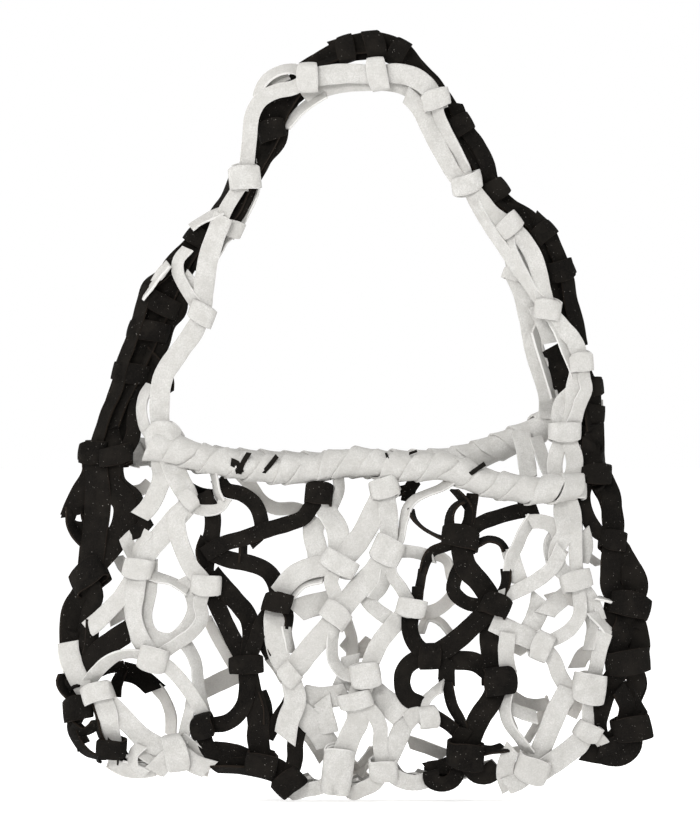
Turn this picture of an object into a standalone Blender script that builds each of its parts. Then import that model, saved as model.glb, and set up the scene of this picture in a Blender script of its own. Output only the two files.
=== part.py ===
"""A small shoulder bag knotted from flat suede strips, white and black.

Run with:  blender --background --python part.py   (or from Blender's text editor)

The bag is a net in the shape of a pouch: five colour columns on the front and five on the
back, a black column closing each side, strips under the base, two rims of wrapped strip
round the mouth, and one handle of bundled strips.  It stands on the base, +Z up, front at -Y.

Every knot and every strip is set out on a knotting chart laid over the front of the bag.
The chart runs across (left to right) and down, in chart units; a strip is 20 units wide.
"""
import math

import bmesh
import bpy
from mathutils import Vector

# ------------------------------------------------------------------ driving dimensions (m)
UNIT = 0.0006               # one chart unit
CENTRE_ACROSS = 355.8       # chart column over the middle of the bag
FLOOR_DOWN = 802.0          # chart row of the surface the bag stands on
STRIP_THICK = 0.0022        # one strip, laid flat
KNOT_THICK = 0.0078         # a strip wrapped once round the strips that it ties
GAP = 0.00036               # left between one piece and the next
RIM_RADIUS = 0.0082         # a rim: core and wrapping
RIM_OUT = 0.026             # each rim's distance from the middle plane
BACK_KNOT = 0.86            # the back is tied with smaller knots
BACK_OUT = 0.0005           # the back net stands this much further out
SPAN = 30.0                 # chart length of one facet along a strip
KEEP = 0.62                 # share of the facets kept once the strips are joined

# half the bag's depth, down its height (chart row, millimetres)
DEPTH = [
    # down, half depth
    (430, 25.0), (466, 26.0), (540, 35.0), (640, 40.0), (720, 38.0), (765, 31.0), (802, 24.0),
]
# where the net turns round the sides (chart row, left column, right column)
SIDES = [
    # down, left, right
    (430, 80, 607), (500, 64, 624), (560, 64, 640), (640, 55, 655), (700, 58, 655),
    (760, 72, 645), (802, 80, 640),
]

# ------------------------------------------------------------------ the knotting chart
# Each knot: chart place, width and height of its wrap, and how far the wrap is turned.
KNOTS = {
    # name: (across, down, wide, tall, turned degrees)
    # white, left
    "WA": (163, 440, 38, 28, -8), "WB": (187, 500, 24, 22, 45), "WC": (179, 517, 26, 22, 15),
    "WD": (139, 567, 32, 27, 10), "WE": (207, 584, 30, 24, 0), "WF": (153, 657, 26, 30, 12),
    "WG": (99, 692, 32, 25, -18), "WH": (175, 755, 26, 34, 8),
    # black, left chain
    "BA": (319, 494, 28, 27, -14), "BB": (277, 598, 30, 28, 20), "BC": (247, 661, 34, 28, 0),
    "BD": (204, 726, 24, 24, 20), "BE": (262, 764, 30, 22, 0), "BF": (290, 783, 26, 22, -30),
    # white, middle
    "MA": (290, 673, 26, 26, 45), "MB": (338, 614, 28, 28, 10), "MC": (338, 560, 32, 26, 35),
    "MD": (386, 484, 32, 26, 0), "ME": (389, 550, 32, 26, 0), "MF": (413, 609, 27, 25, 12),
    "MG": (416, 715, 30, 22, 0), "MH": (366, 674, 29, 32, 0), "MI": (356, 699, 34, 24, 0),
    "MJ": (383, 767, 34, 24, 0), "MK": (336, 771, 30, 50, 0),
    # black, right chain
    "CA": (460, 536, 42, 23, 0), "CB": (501, 604, 26, 28, 0), "CC": (431, 657, 38, 26, 0),
    "CD": (497, 680, 42, 28, 0), "CE": (467, 755, 42, 28, 0),
    # white, right
    "RA": (566, 434, 32, 24, 0), "RB": (565, 486, 46, 27, 0), "RC": (576, 581, 34, 26, 15),
    "RD": (543, 645, 32, 30, 15), "RE": (584, 687, 46, 34, 0), "RF": (588, 730, 26, 28, 0),
    "RG": (534, 766, 36, 27, 0),
    # black, left side
    "LA": (113, 455, 34, 24, -6), "LB": (92, 452, 26, 20, 8), "LC": (94, 576, 38, 30, -14),
    "LD": (80, 706, 26, 24, 0), "LE": (113, 749, 30, 26, 0),
    # black, right side
    "SA": (601, 474, 30, 26, 0), "SB": (612, 541, 34, 30, 10), "SC": (634, 606, 32, 26, 20),
    "SD": (630, 661, 36, 28, 0), "SE": (636, 731, 34, 36, -12),
}

# Each strip: the column it belongs to, the knots or chart places it runs through, how far a
# strip between two places bows to the side, its width, how far it stands off the net (mm), and
# whether the back has it too.
STRIPS = [
    # column, route, bow, width, off, on the back
    ("white_left", ("WA", (146, 500), "WD"), 0, 20, 0.3, 1),
    ("white_left", ("WA", "WB"), 3, 22, -0.5, 1),
    ("white_left", ((216, 480), (221, 500), "WB"), 0, 15, 0.8, 0),
    ("white_left", ("WB", "WC"), 0, 22, 0.0, 1),
    ("white_left", ("WC", "WD"), -3, 22, -0.6, 0),
    ("white_left", ("WC", "WE"), -4, 20, 0.5, 1),
    ("white_left", ("WD", (106, 610), (76, 640), "WG"), 0, 20, -0.9, 1),
    ("white_left", ("WD", (131, 622), "WF"), 0, 20, 0.4, 1),
    ("white_left", ("WE", (199, 625), "WF"), 0, 15, 0.0, 1),
    ("white_left", ("WF", (116, 659), "WG"), 0, 15, 0.6, 0),
    ("white_left", ("WF", (190, 690), (203, 722)), 0, 15, -0.5, 0),
    ("white_left", ("WG", (130, 724), "WH"), 0, 20, 0.3, 1),
    ("white_left", ("WG", (110, 742)), 0, 21, -0.7, 0),
    ("white_left", ("WH", (214, 771)), 0, 22, 0.8, 1),
    ("white_left", ("WH", (138, 774), (124, 764)), 0, 16, 0.2, 0),
    ("black_left", ((224, 480), (252, 502), (262, 535)), 0, 18, 0.6, 1),
    ("black_left", ("BA", (296, 522), (250, 537), (208, 548)), 0, 17, -0.5, 1),
    ("black_left", ((202, 492), (213, 520), (208, 576)), 0, 17, 0.4, 1),
    ("black_left", ((207, 549), (250, 563), "BB"), 0, 18, 0.0, 1),
    ("black_left", ((212, 572), (254, 610), "BC"), 0, 15, -0.8, 0),
    ("black_left", ((207, 570), (222, 622), "BC"), 0, 22, 0.7, 1),
    ("black_left", ("BB", (261, 630), "BC"), 0, 15, 0.2, 1),
    ("black_left", ("BC", "BE"), 3, 24, 0.0, 1),
    ("black_left", ((248, 694), (232, 722), "BD"), 0, 17, -0.6, 0),
    ("black_left", ("BD", (212, 758), (234, 768)), 0, 17, 0.5, 0),
    ("black_left", ((216, 750), "BE"), 0, 16, -0.3, 0),
    ("black_left", ((287, 692), (276, 722), "BE"), 0, 17, 0.5, 0),
    ("black_left", ("BE", "BF"), 0, 20, 0.0, 1),
    ("white_mid", ((327, 484), (336, 535), "MC"), 0, 22, 0.5, 1),
    ("white_mid", ("MD", "MC"), 3, 24, -0.3, 1),
    ("white_mid", ("MC", (302, 573), (280, 592)), 0, 20, 0.2, 1),
    ("white_mid", ("MC", "MB"), -3, 16, -0.7, 1),
    ("white_mid", ("MD", "ME"), 0, 19, 0.6, 1),
    ("white_mid", ("ME", "MB"), 2, 24, 0.8, 1),
    ("white_mid", ("ME", "MF"), 2, 15, -0.5, 1),
    ("white_mid", ("MF", (377, 642), "MH"), 0, 19, 0.3, 1),
    ("white_mid", ("MB", "MH"), 6, 13, -0.6, 0),
    ("white_mid", ("MB", (320, 641), "MA"), 0, 24, 0.0, 1),
    ("white_mid", ((274, 612), "MA"), 4, 20, 0.6, 0),
    ("white_mid", ("MA", (284, 742)), -3, 23, -0.4, 1),
    ("white_mid", ("MH", "MI"), 0, 26, 0.0, 1),
    ("white_mid", ("MI", "MK"), 0, 23, 0.7, 1),
    ("white_mid", ("MI", (383, 735), "MJ"), 0, 18, -0.3, 1),
    ("white_mid", ("MG", "MJ"), 0, 22, 0.4, 1),
    ("white_mid", ("MK", "MJ"), 6, 14, -0.8, 0),
    ("black_right", ((452, 482), "CA"), 0, 18, 0.5, 1),
    ("black_right", ("CA", (500, 517), (526, 508)), 0, 17, 0.0, 0),
    ("black_right", ("CA", (421, 570), (409, 604), (419, 640), "CC"), 0, 15, 0.2, 0),
    ("black_right", ("CA", (474, 578), "CB"), 0, 25, 0.6, 1),
    ("black_right", ("CB", (466, 641), "CC"), 0, 21, 0.0, 1),
    ("black_right", ("CC", (401, 683), (422, 708)), 0, 17, -0.5, 0),
    ("black_right", ("CB", (488, 648), "CD"), 0, 16, 0.5, 1),
    ("black_right", ("CC", "CD"), 0, 13, -0.2, 0),
    ("black_right", ("CC", (449, 696), "CE"), 0, 14, 0.4, 0),
    ("black_right", ("CD", (482, 722), "CE"), 0, 20, 0.0, 1),
    ("black_right", ((420, 706), (456, 733)), 0, 14, 0.9, 0),
    ("black_right", ("CE", (441, 790), (424, 778)), 0, 16, 0.3, 1),
    ("black_right", ("CE", (482, 781), (499, 768)), 0, 16, -0.3, 0),
    ("white_right", ("RA", "RB"), 0, 30, 0.0, 1),
    ("white_right", ("RB", "RC"), -3, 15, 0.5, 1),
    ("white_right", ("RB", (554, 535), "RC"), 0, 14, -0.5, 0),
    ("white_right", ("RB", (533, 512), (509, 552), (508, 592)), 0, 12, 0.9, 0),
    ("white_right", ("RC", (527, 583), (506, 597)), 0, 16, 0.0, 0),
    ("white_right", ("RC", (603, 612), (604, 655), "RE"), 0, 20, -0.6, 1),
    ("white_right", ("RC", (574, 622), "RD"), 0, 15, 0.6, 1),
    ("white_right", ("RD", (511, 630), (488, 618)), 0, 23, 0.2, 0),
    ("white_right", ("RD", (554, 672), "RE"), 0, 16, -0.3, 1),
    ("white_right", ("RE", (557, 722), "RG"), 0, 21, 0.4, 1),
    ("white_right", ("RE", "RF"), 0, 18, 0.0, 0),
    ("white_right", ("RF", (562, 758), "RG"), 0, 22, -0.6, 0),
    ("white_right", ("RG", (503, 781)), 0, 18, 0.3, 0),
    ("white_right", ((508, 694), (504, 722), "RG"), 0, 13, 0.7, 0),
    ("side_left", ((110, 408), "LA"), 2, 24, 0.5, 1),
    ("side_left", ("LB", (69, 510), "LC"), 0, 18, 0.0, 1),
    ("side_left", ("LA", "LC"), 4, 20, 0.7, 1),
    ("side_left", ("LA", (136, 505), "LC"), 0, 17, -0.6, 0),
    ("side_left", ("LA", "LB"), 0, 16, 0.0, 1),
    ("side_left", ("LC", (64, 635), (68, 675), "LD"), 0, 18, 0.4, 1),
    ("side_left", ("LD", (74, 742), "LE"), 0, 14, 0.0, 1),
    ("side_right", ((600, 408), "SA"), 0, 25, 0.5, 1),
    ("side_right", ("SA", "SB"), 2, 26, 0.0, 1),
    ("side_right", ("SB", "SC"), 2, 24, 0.6, 1),
    ("side_right", ("SC", "SD"), 4, 24, 0.0, 1),
    ("side_right", ("SD", "SE"), 2, 24, 0.6, 1),
    ("side_right", ("SD", (600, 685), (595, 724), (598, 752)), 0, 17, -0.4, 0),
    ("side_right", ("SE", (625, 757), (596, 750)), 0, 17, 0.3, 0),
]

# Strips that cross a side or the base from front to back: chart place at each end, how far
# the middle swells outward (mm), width.
SIDE_RUNGS = [
    # column, front across, front down, back across, back down, swell, width
    ("side_left", 98, 452, 98, 466, 5, 18), ("side_left", 76, 520, 92, 560, 8, 18),
    ("side_left", 84, 590, 78, 545, 8, 18), ("side_left", 67, 640, 73, 676, 5, 18),
    ("side_left", 76, 712, 84, 726, 7, 20),
    ("side_right", 606, 462, 604, 476, 5, 18), ("side_right", 620, 530, 632, 590, 8, 18),
    ("side_right", 640, 600, 620, 548, 8, 18), ("side_right", 640, 650, 640, 690, 7, 18),
    ("side_right", 644, 722, 636, 738, 7, 20),
]
BASE_STRIPS = [
    # colour, across at the front, across at the back, lowest chart row, width
    ("white", 134, 140, 775, 20), ("white", 178, 170, 779, 20), ("white", 300, 304, 801, 20),
    ("white", 352, 345, 801, 22), ("white", 398, 404, 801, 20), ("white", 522, 530, 789, 20),
    ("white", 566, 560, 779, 20),
    ("black_left", 226, 232, 787, 20), ("black_left", 262, 258, 795, 22),
    ("black_right", 440, 444, 801, 22), ("black_right", 480, 476, 798, 20),
]
BASE_RUNS = [
    # colour, from across, to across, distance from the middle plane (mm)
    ("white", 122, 592, -16.5), ("white", 126, 588, 16.5),
    ("black_left", 222, 266, 0.0), ("black_right", 436, 482, 0.0),
]
# underside of the base along the bag (chart column, chart row)
BASE_LINE = [(100, 764), (130, 775), (180, 780), (230, 788), (275, 799), (300, 802),
             (455, 802), (480, 799), (520, 790), (560, 781), (610, 768)]

# ------------------------------------------------------------------ rims and handle
RIM_ROUTE = {
    # name: (across, down) along the rim's middle
    "front": [(186, 457), (220, 459), (255, 463), (310, 467), (345, 463), (385, 466),
              (420, 467), (455, 463), (485, 466), (515, 480), (541, 489)],
    "back": [(150, 452), (186, 455), (255, 461), (345, 460), (420, 463), (470, 457),
             (500, 449), (523, 439), (540, 428)],
}
RIM_WRAP = 21.0             # chart length of one turn of the wrapping

HANDLE = [
    # part, width, thickness (mm), route of (across, down, distance from the middle plane mm)
    ("handle_black", 22, 3.0, [(113, 440, -14), (108, 410, -12), (117, 372, -8), (132, 330, -5),
                               (152, 286, -3), (180, 246, -2), (216, 200, -1), (240, 165, 0)]),
    ("handle_black", 24, 3.4, [(124, 425, 9), (132, 375, 7), (150, 335, 5), (166, 298, 3),
                               (188, 246, 3), (222, 200, 4), (252, 172, 4), (270, 138, 5),
                               (284, 104, 5), (306, 72, 4), (340, 52, 3), (380, 47, 3),
                               (414, 58, 3), (444, 88, 3), (462, 118, 3), (480, 158, 3),
                               (497, 192, 3), (530, 212, 3), (552, 240, 3), (563, 278, 4),
                               (570, 312, 5), (584, 350, 6), (597, 385, 8), (600, 430, 12)]),
    ("handle_black", 20, 3.0, [(150, 322, 0), (166, 318, -2), (172, 296, -3), (170, 268, -3)]),
    ("handle_black", 20, 3.0, [(445, 96, -2), (468, 142, -3), (486, 180, -3), (512, 206, -3),
                               (545, 236, -3), (560, 275, -3), (574, 322, -4), (592, 372, -6),
                               (594, 410, -10), (588, 440, -12)]),
    ("handle_white", 19, 3.0, [(165, 428, -18), (160, 400, -16), (166, 368, -13), (186, 342, -11),
                               (200, 314, -10), (205, 278, -9), (210, 244, -8), (224, 210, -8),
                               (243, 178, -7), (247, 148, -6), (252, 112, -6), (276, 90, -6),
                               (308, 79, -6), (345, 74, -6), (378, 71, -7), (412, 76, -7),
                               (436, 97, -7), (452, 140, -8), (468, 181, -9), (490, 208, -9),
                               (512, 224, -10), (536, 255, -10), (548, 300, -11),
                               (566, 336, -12), (582, 362, -13), (582, 395, -15),
                               (572, 420, -17)]),
    ("handle_white", 14, 2.6, [(138, 428, -18), (137, 402, -16), (146, 382, -14), (166, 362, -13)]),
    ("handle_white", 13, 2.4, [(204, 292, -10), (184, 282, -9), (178, 262, -8), (194, 238, -8),
                               (216, 218, -8)]),
    ("handle_white", 12, 2.4, [(472, 190, -9), (486, 218, -8), (512, 256, -8), (538, 298, -9)]),
    ("handle_white_inner", 20, 3.0, [(300, 96, 0), (330, 86, 0), (370, 82, 0), (398, 92, 0),
                                     (419, 114, 0), (438, 146, 0), (458, 176, 0), (486, 214, 1),
                                     (508, 250, 2), (519, 285, 3), (525, 325, 6), (536, 365, 10),
                                     (548, 396, 15), (556, 412, 19)]),
]
BANDS = [
    # part, across, down, distance from the middle plane (mm), wide, tall, thick (mm), turned
    ("handle_white", 309, 79, -6, 22, 34, 9.0, 0), ("handle_white", 245, 178, -7, 32, 28, 9.0, 14),
    ("handle_white", 200, 314, -10, 31, 26, 9.0, 12), ("handle_white", 378, 71, -7, 23, 28, 9.0, 0),
    ("handle_white", 438, 97, -7, 29, 22, 9.0, 12), ("handle_white", 468, 181, -9, 32, 22, 9.0, 15),
    ("handle_white", 512, 224, -10, 26, 26, 9.0, 38), ("handle_white", 550, 309, -11, 27, 22, 9.0, 8),
    ("handle_white", 583, 362, -13, 24, 24, 9.0, 12),
    ("handle_black", 155, 306, 1, 54, 28, 9.0, -22), ("handle_black", 194, 238, 1, 42, 30, 9.0, -35),
    ("handle_black", 135, 362, 0, 44, 26, 9.0, -16), ("handle_black", 375, 46, 2, 62, 26, 9.0, -2),
    ("handle_black", 463, 118, 0, 32, 26, 9.0, 26),
    ("handle_black", 500, 188, 0, 30, 30, 9.0, 30), ("handle_black", 564, 272, 0, 34, 26, 9.0, 10),
    ("handle_black", 596, 396, -2, 28, 30, 11.0, 4),
]

WHITE = (0.76, 0.75, 0.71)
BLACK = (0.012, 0.010, 0.009)


# ------------------------------------------------------------------ helpers
def read(table, row, column):
    """Value of a short table at a chart row, straight between its lines."""
    if row <= table[0][0]:
        return table[0][column]
    for low, high in zip(table, table[1:]):
        if row <= high[0]:
            share = (row - low[0]) / (high[0] - low[0])
            return low[column] + (high[column] - low[column]) * share
    return table[-1][column]


def half_depth(across, down):
    """Half the bag's depth (m): full in the middle, rounding off towards each side."""
    left, right = read(SIDES, down, 1), read(SIDES, down, 2)
    side = abs((across - (left + right) / 2) / ((right - left) / 2))
    side = min(side, 0.93)
    return 0.001 * read(DEPTH, down, 1) * math.sqrt(1.0 - side ** 3.2)


def place(across, down, depth):
    """Chart place and distance from the middle plane (m, + is the back) as a point."""
    return Vector(((across - CENTRE_ACROSS) * UNIT, depth, (FLOOR_DOWN - down) * UNIT))


def on_net(across, down, side, off=0.0):
    """A point on the front (side -1) or back (side +1) net, standing off it outward."""
    off += BACK_OUT if side > 0 else 0.0
    return place(across, down, side * (half_depth(across, down) + off))


def net_normal(across, down, side):
    """Outward direction of the net, turned less than the net itself near the sides."""
    step = 6.0
    slope_x = (half_depth(across + step, down) - half_depth(across - step, down)) / (2 * step * UNIT)
    slope_z = (half_depth(across, down - step) - half_depth(across, down + step)) / (2 * step * UNIT)
    slope_x = max(-0.7, min(0.7, slope_x))
    slope_z = max(-0.6, min(0.6, slope_z))
    return Vector((-slope_x, side, -slope_z)).normalized()


def smooth_route(points, closed=False):
    """Catmull-Rom curve through chart or space points, one facet per SPAN or so."""
    points = [Vector(p) for p in points]
    if len(points) == 2:
        count = max(1, int(round((points[1] - points[0]).length / (SPAN * 1.8))))
        return [points[0].lerp(points[1], i / count) for i in range(count + 1)]
    ends = [points[0] * 2 - points[1]] + points + [points[-1] * 2 - points[-2]]
    result = []
    for i in range(1, len(ends) - 2):
        a, b, c, d = ends[i - 1:i + 3]
        count = max(1, int(round((c - b).length / SPAN)))
        for k in range(count):
            t = k / count
            result.append(0.5 * (2 * b + (c - a) * t + (2 * a - 5 * b + 4 * c - d) * t * t
                                 + (3 * b - a - 3 * c + d) * t ** 3))
    result.append(points[-1])
    return result


def ring_solid(rings):
    """Closed solid through rings of the same number of corners, with flat end caps."""
    mesh = bmesh.new()
    made = [[mesh.verts.new(p) for p in ring] for ring in rings]
    count = len(made[0])
    for a, b in zip(made, made[1:]):
        for i in range(count):
            j = (i + 1) % count
            mesh.faces.new((a[i], a[j], b[j], b[i]))
    mesh.faces.new(made[0][::-1])
    mesh.faces.new(made[-1])
    bmesh.ops.recalc_face_normals(mesh, faces=mesh.faces)
    bmesh.ops.triangulate(mesh, faces=mesh.faces)
    return mesh


def ribbon(points, normals, width, thick, grow=0.0):
    """A flat strip swept along points, its face turned to the normals."""
    points = [p.copy() for p in points]
    if grow:
        points[0] += (points[0] - points[1]).normalized() * grow
        points[-1] += (points[-1] - points[-2]).normalized() * grow
    rings = []
    for i, (point, normal) in enumerate(zip(points, normals)):
        along = (points[min(i + 1, len(points) - 1)] - points[max(i - 1, 0)]).normalized()
        across = along.cross(normal).normalized() * (width / 2 + grow)
        out = across.cross(along).normalized() * (thick / 2 + grow)
        rings.append([point + across + out, point + across - out,
                      point - across - out, point - across + out])
    return ring_solid(rings)


def block(centre, normal, wide, tall, thick, turned, grow=0.0):
    """A wrap round the strips of a knot: a flat pad lying in the net, narrower outside."""
    level = Vector((1, 0, 0))
    level = (level - normal * level.dot(normal)).normalized()
    up = normal.cross(level) if normal.y < 0 else level.cross(normal)
    if up.z < 0:
        up = -up
    angle = math.radians(turned)
    side = level * math.cos(angle) - up * math.sin(angle)
    top = level * math.sin(angle) + up * math.cos(angle)
    half_w, half_t, half_k = wide / 2 + grow, tall / 2 + grow, thick / 2 + grow
    profile = [(0.94, 1.0), (-0.94, 1.0), (-1.0, -1.0), (1.0, -1.0)]
    rings = []
    for level_t in (-1.0, 1.0):
        rings.append([centre + side * (half_w * px) + normal * (half_k * pk)
                      + top * (half_t * level_t) for px, pk in profile])
    return ring_solid(rings)


def tube(points, radii, grow=0.0, corners=8):
    """A round bar through points with its own radius at each."""
    points = [p.copy() for p in points]
    if grow:
        points[0] += (points[0] - points[1]).normalized() * grow
        points[-1] += (points[-1] - points[-2]).normalized() * grow
    rings = []
    for i, (point, radius) in enumerate(zip(points, radii)):
        along = (points[min(i + 1, len(points) - 1)] - points[max(i - 1, 0)]).normalized()
        side = along.cross(Vector((0, 1, 0))).normalized()
        out = side.cross(along).normalized()
        rings.append([point + (side * math.cos(a) + out * math.sin(a)) * (radius + grow)
                      for a in (math.tau * (k + 0.5) / corners for k in range(corners))])
    return ring_solid(rings)


# ------------------------------------------------------------------ pieces of each node
def chart_xy(step):
    return KNOTS[step][:2] if isinstance(step, str) else step


def net_pieces(column, side, grow=0.0):
    """Strips and knots of one colour column, on the front (-1) or the back (+1)."""
    pieces, names = [], []
    back = side > 0
    for col, route, bow, width, off, on_back in STRIPS:
        if col != column or (back and not on_back):
            continue
        names += [s for s in route if isinstance(s, str)]
        stops = [Vector((*chart_xy(s), 0.0)) for s in route]
        if bow and len(stops) == 2:
            run = stops[1] - stops[0]
            sideways = Vector((run.y, -run.x, 0)).normalized() * bow
            stops = [stops[0], stops[0].lerp(stops[1], 0.5) + sideways, stops[1]]
        path = smooth_route(stops)
        points = [on_net(p.x, p.y, side, 0.001 * off * (1 if not back else -0.8)) for p in path]
        normals = [net_normal(p.x, p.y, side) for p in path]
        pieces.append(ribbon(points, normals, width * UNIT, STRIP_THICK, grow))
    scale = BACK_KNOT if back else 1.0
    for name in sorted(set(names)):
        across, down, wide, tall, turned = KNOTS[name]
        pieces.append(block(on_net(across, down, side), net_normal(across, down, side),
                            wide * UNIT * scale, tall * UNIT * scale, KNOT_THICK * scale,
                            turned, grow))
    return pieces


def side_pieces(column, grow=0.0):
    """One side column: its front half, its back half and the rungs between them."""
    pieces = net_pieces(column, -1, grow) + net_pieces(column, 1, grow)
    outward = -1 if column == "side_left" else 1
    for col, fa, fd, ba, bd, swell, width in SIDE_RUNGS:
        if col != column:
            continue
        start, end = on_net(fa, fd, -1), on_net(ba, bd, 1)
        points, normals = [], []
        for i in range(4):
            t = i / 3
            bulge = math.sin(math.pi * t)
            points.append(start.lerp(end, t) + Vector((outward * 0.001 * swell * bulge, 0, 0)))
            normals.append(Vector((outward * (0.45 + bulge), 1.3 * (2 * t - 1), 0)).normalized())
        pieces.append(ribbon(points, normals, width * UNIT, STRIP_THICK, grow))
    return pieces


def base_pieces(colour, grow=0.0):
    """Strips that pass under the bag, and the runs along it that they are knotted to."""
    pieces = []
    half = STRIP_THICK / 2
    for col, front, back, low, width in BASE_STRIPS:
        if col != colour:
            continue
        lift = 0.0 if colour == "white" else half * 2 + GAP * 1.4
        points, normals = [], []
        for t in (-1.0, -0.8, -0.6, 0.6, 0.8, 1.0):
            across = (front + back) / 2 + (back - front) / 2 * t
            bottom = (FLOOR_DOWN - low) * UNIT + half + lift
            reach = 0.027 if low > 785 else 0.022
            rise = 0.0 if abs(t) < 0.6 else 0.011 * ((abs(t) - 0.6) / 0.4) ** 1.4
            points.append(Vector(((across - CENTRE_ACROSS) * UNIT, reach * t, bottom + rise)))
            normals.append(Vector((0, 0.9 * t * (abs(t) > 0.6), -1)).normalized())
        pieces.append(ribbon(points, normals, width * UNIT, STRIP_THICK, grow))
    for col, start, end, depth in BASE_RUNS:
        if col != colour:
            continue
        lift = 0.0 if colour == "white" else half * 2 + GAP * 1.4
        stops = [start] + [c for c, d in BASE_LINE if start < c < end] + [end]
        points = [Vector(((a - CENTRE_ACROSS) * UNIT, 0.001 * depth,
                          (FLOOR_DOWN - read(BASE_LINE, a, 1)) * UNIT + half + lift)) for a in stops]
        pieces.append(ribbon(points, [Vector((0, 0, -1))] * len(points), 20 * UNIT,
                             STRIP_THICK, grow))
    return pieces


def rim_pieces(name, grow=0.0):
    """One rim: a core wrapped round and round, so that its outline swells at each turn."""
    side = -1 if name == "front" else 1
    path = smooth_route([Vector((a, d, 0)) for a, d in RIM_ROUTE[name]])
    length = [0.0]
    for a, b in zip(path, path[1:]):
        length.append(length[-1] + (b - a).length)
    count = int(length[-1] / RIM_WRAP)
    points, radii = [], []
    for i in range(count + 1):
        want = length[-1] * i / count
        k = max(j for j in range(len(length)) if length[j] <= want + 1e-9)
        k = min(k, len(path) - 2)
        share = (want - length[k]) / max(length[k + 1] - length[k], 1e-9)
        spot = path[k].lerp(path[k + 1], share)
        points.append(place(spot.x, spot.y, side * RIM_OUT))
        radii.append(RIM_RADIUS * (1.0 if i % 2 else 0.93))
    return [tube(points, radii, grow)]


def handle_pieces(part, grow=0.0):
    """The strips and bands of one part of the handle."""
    pieces = []
    for name, width, thick, route in HANDLE:
        if name != part:
            continue
        path = smooth_route([Vector((a, d, 0)) for a, d, y in route])
        stops = [(Vector((a, d, 0)), y) for a, d, y in route]
        points = []
        for spot in path:
            best = min(range(len(stops)), key=lambda k: (stops[k][0] - spot).length)
            near = sorted(stops, key=lambda s: (s[0] - spot).length)[:2]
            d0, d1 = (near[0][0] - spot).length, (near[1][0] - spot).length
            depth = (near[0][1] * d1 + near[1][1] * d0) / max(d0 + d1, 1e-9)
            points.append(place(spot.x, spot.y, 0.001 * depth))
        normals = [Vector((0, -1, 0))] * len(points)
        pieces.append(ribbon(points, normals, width * UNIT, 0.001 * thick, grow))
    for name, across, down, depth, wide, tall, thick, turned in BANDS:
        if name == part:
            pieces.append(block(place(across, down, 0.001 * depth), Vector((0, -1, 0)),
                                wide * UNIT, tall * UNIT, 0.001 * thick, turned, grow))
    return pieces


# ------------------------------------------------------------------ solids
def as_object(mesh, name):
    data = bpy.data.meshes.new(name)
    mesh.to_mesh(data)
    mesh.free()
    thing = bpy.data.objects.new(name, data)
    bpy.context.scene.collection.objects.link(thing)
    return thing


def closed(data):
    """Whether every edge of a mesh joins exactly two faces."""
    mesh = bmesh.new()
    mesh.from_mesh(data)
    good = len(mesh.faces) > 3 and all(edge.is_manifold for edge in mesh.edges)
    mesh.free()
    return good


def combine(target, other, operation):
    """Apply one Boolean to target; the other object is used up."""
    for nudge, solver in ((0, "EXACT"), (0, "MANIFOLD"), (1, "EXACT"), (-1, "EXACT"), (2, "MANIFOLD")):
        other.location = (0.00001 * nudge, 0.000013 * nudge, 0.000007 * nudge)
        cut = target.modifiers.new("cut", "BOOLEAN")
        cut.operation = operation
        cut.solver = solver
        cut.object = other
        graph = bpy.context.evaluated_depsgraph_get()
        result = bpy.data.meshes.new_from_object(target.evaluated_get(graph))
        target.modifiers.clear()
        if closed(result):
            break
    old = target.data
    target.data = result
    bpy.data.meshes.remove(old)
    used = other.data
    bpy.data.objects.remove(other)
    bpy.data.meshes.remove(used)


def bounds(mesh):
    low = Vector((min(v.co[k] for v in mesh.verts) for k in range(3)))
    high = Vector((max(v.co[k] for v in mesh.verts) for k in range(3)))
    return low, high


def data_bounds(data):
    low = Vector((min(v.co[k] for v in data.vertices) for k in range(3)))
    high = Vector((max(v.co[k] for v in data.vertices) for k in range(3)))
    return low, high


def meet(a, b, slack=0.0004):
    return all(a[0][k] < b[1][k] + slack and b[0][k] < a[1][k] + slack for k in range(3))


def keep_largest(thing):
    """Drop the crumbs that a cut leaves, so that one body remains."""
    mesh = bmesh.new()
    mesh.from_mesh(thing.data)
    bmesh.ops.triangulate(mesh, faces=mesh.faces)
    islands, seen = [], set()
    for start in mesh.verts:
        if start in seen:
            continue
        stack, island = [start], []
        seen.add(start)
        while stack:
            vert = stack.pop()
            island.append(vert)
            for edge in vert.link_edges:
                other = edge.other_vert(vert)
                if other not in seen:
                    seen.add(other)
                    stack.append(other)
        islands.append(island)
    islands.sort(key=len)
    for island in islands[:-1]:
        bmesh.ops.delete(mesh, geom=island, context="VERTS")
    mesh.to_mesh(thing.data)
    mesh.free()
    return len(islands)


def simplify(thing, ratio):
    """Drop corners that barely change the surface, if the solid stays closed."""
    slim = thing.modifiers.new("slim", "DECIMATE")
    slim.decimate_type = "COLLAPSE"
    slim.ratio = ratio
    slim.use_collapse_triangulate = True
    graph = bpy.context.evaluated_depsgraph_get()
    result = bpy.data.meshes.new_from_object(thing.evaluated_get(graph))
    thing.modifiers.clear()
    if closed(result):
        old = thing.data
        thing.data = result
        bpy.data.meshes.remove(old)


def material(name, colour, rough):
    made = bpy.data.materials.new(name)
    made.use_nodes = True
    shader = made.node_tree.nodes["Principled BSDF"]
    shader.inputs["Base Color"].default_value = (*colour, 1.0)
    shader.inputs["Roughness"].default_value = rough
    shader.inputs["Metallic"].default_value = 0.0
    made.diffuse_color = (*colour, 1.0)
    return made


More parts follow.
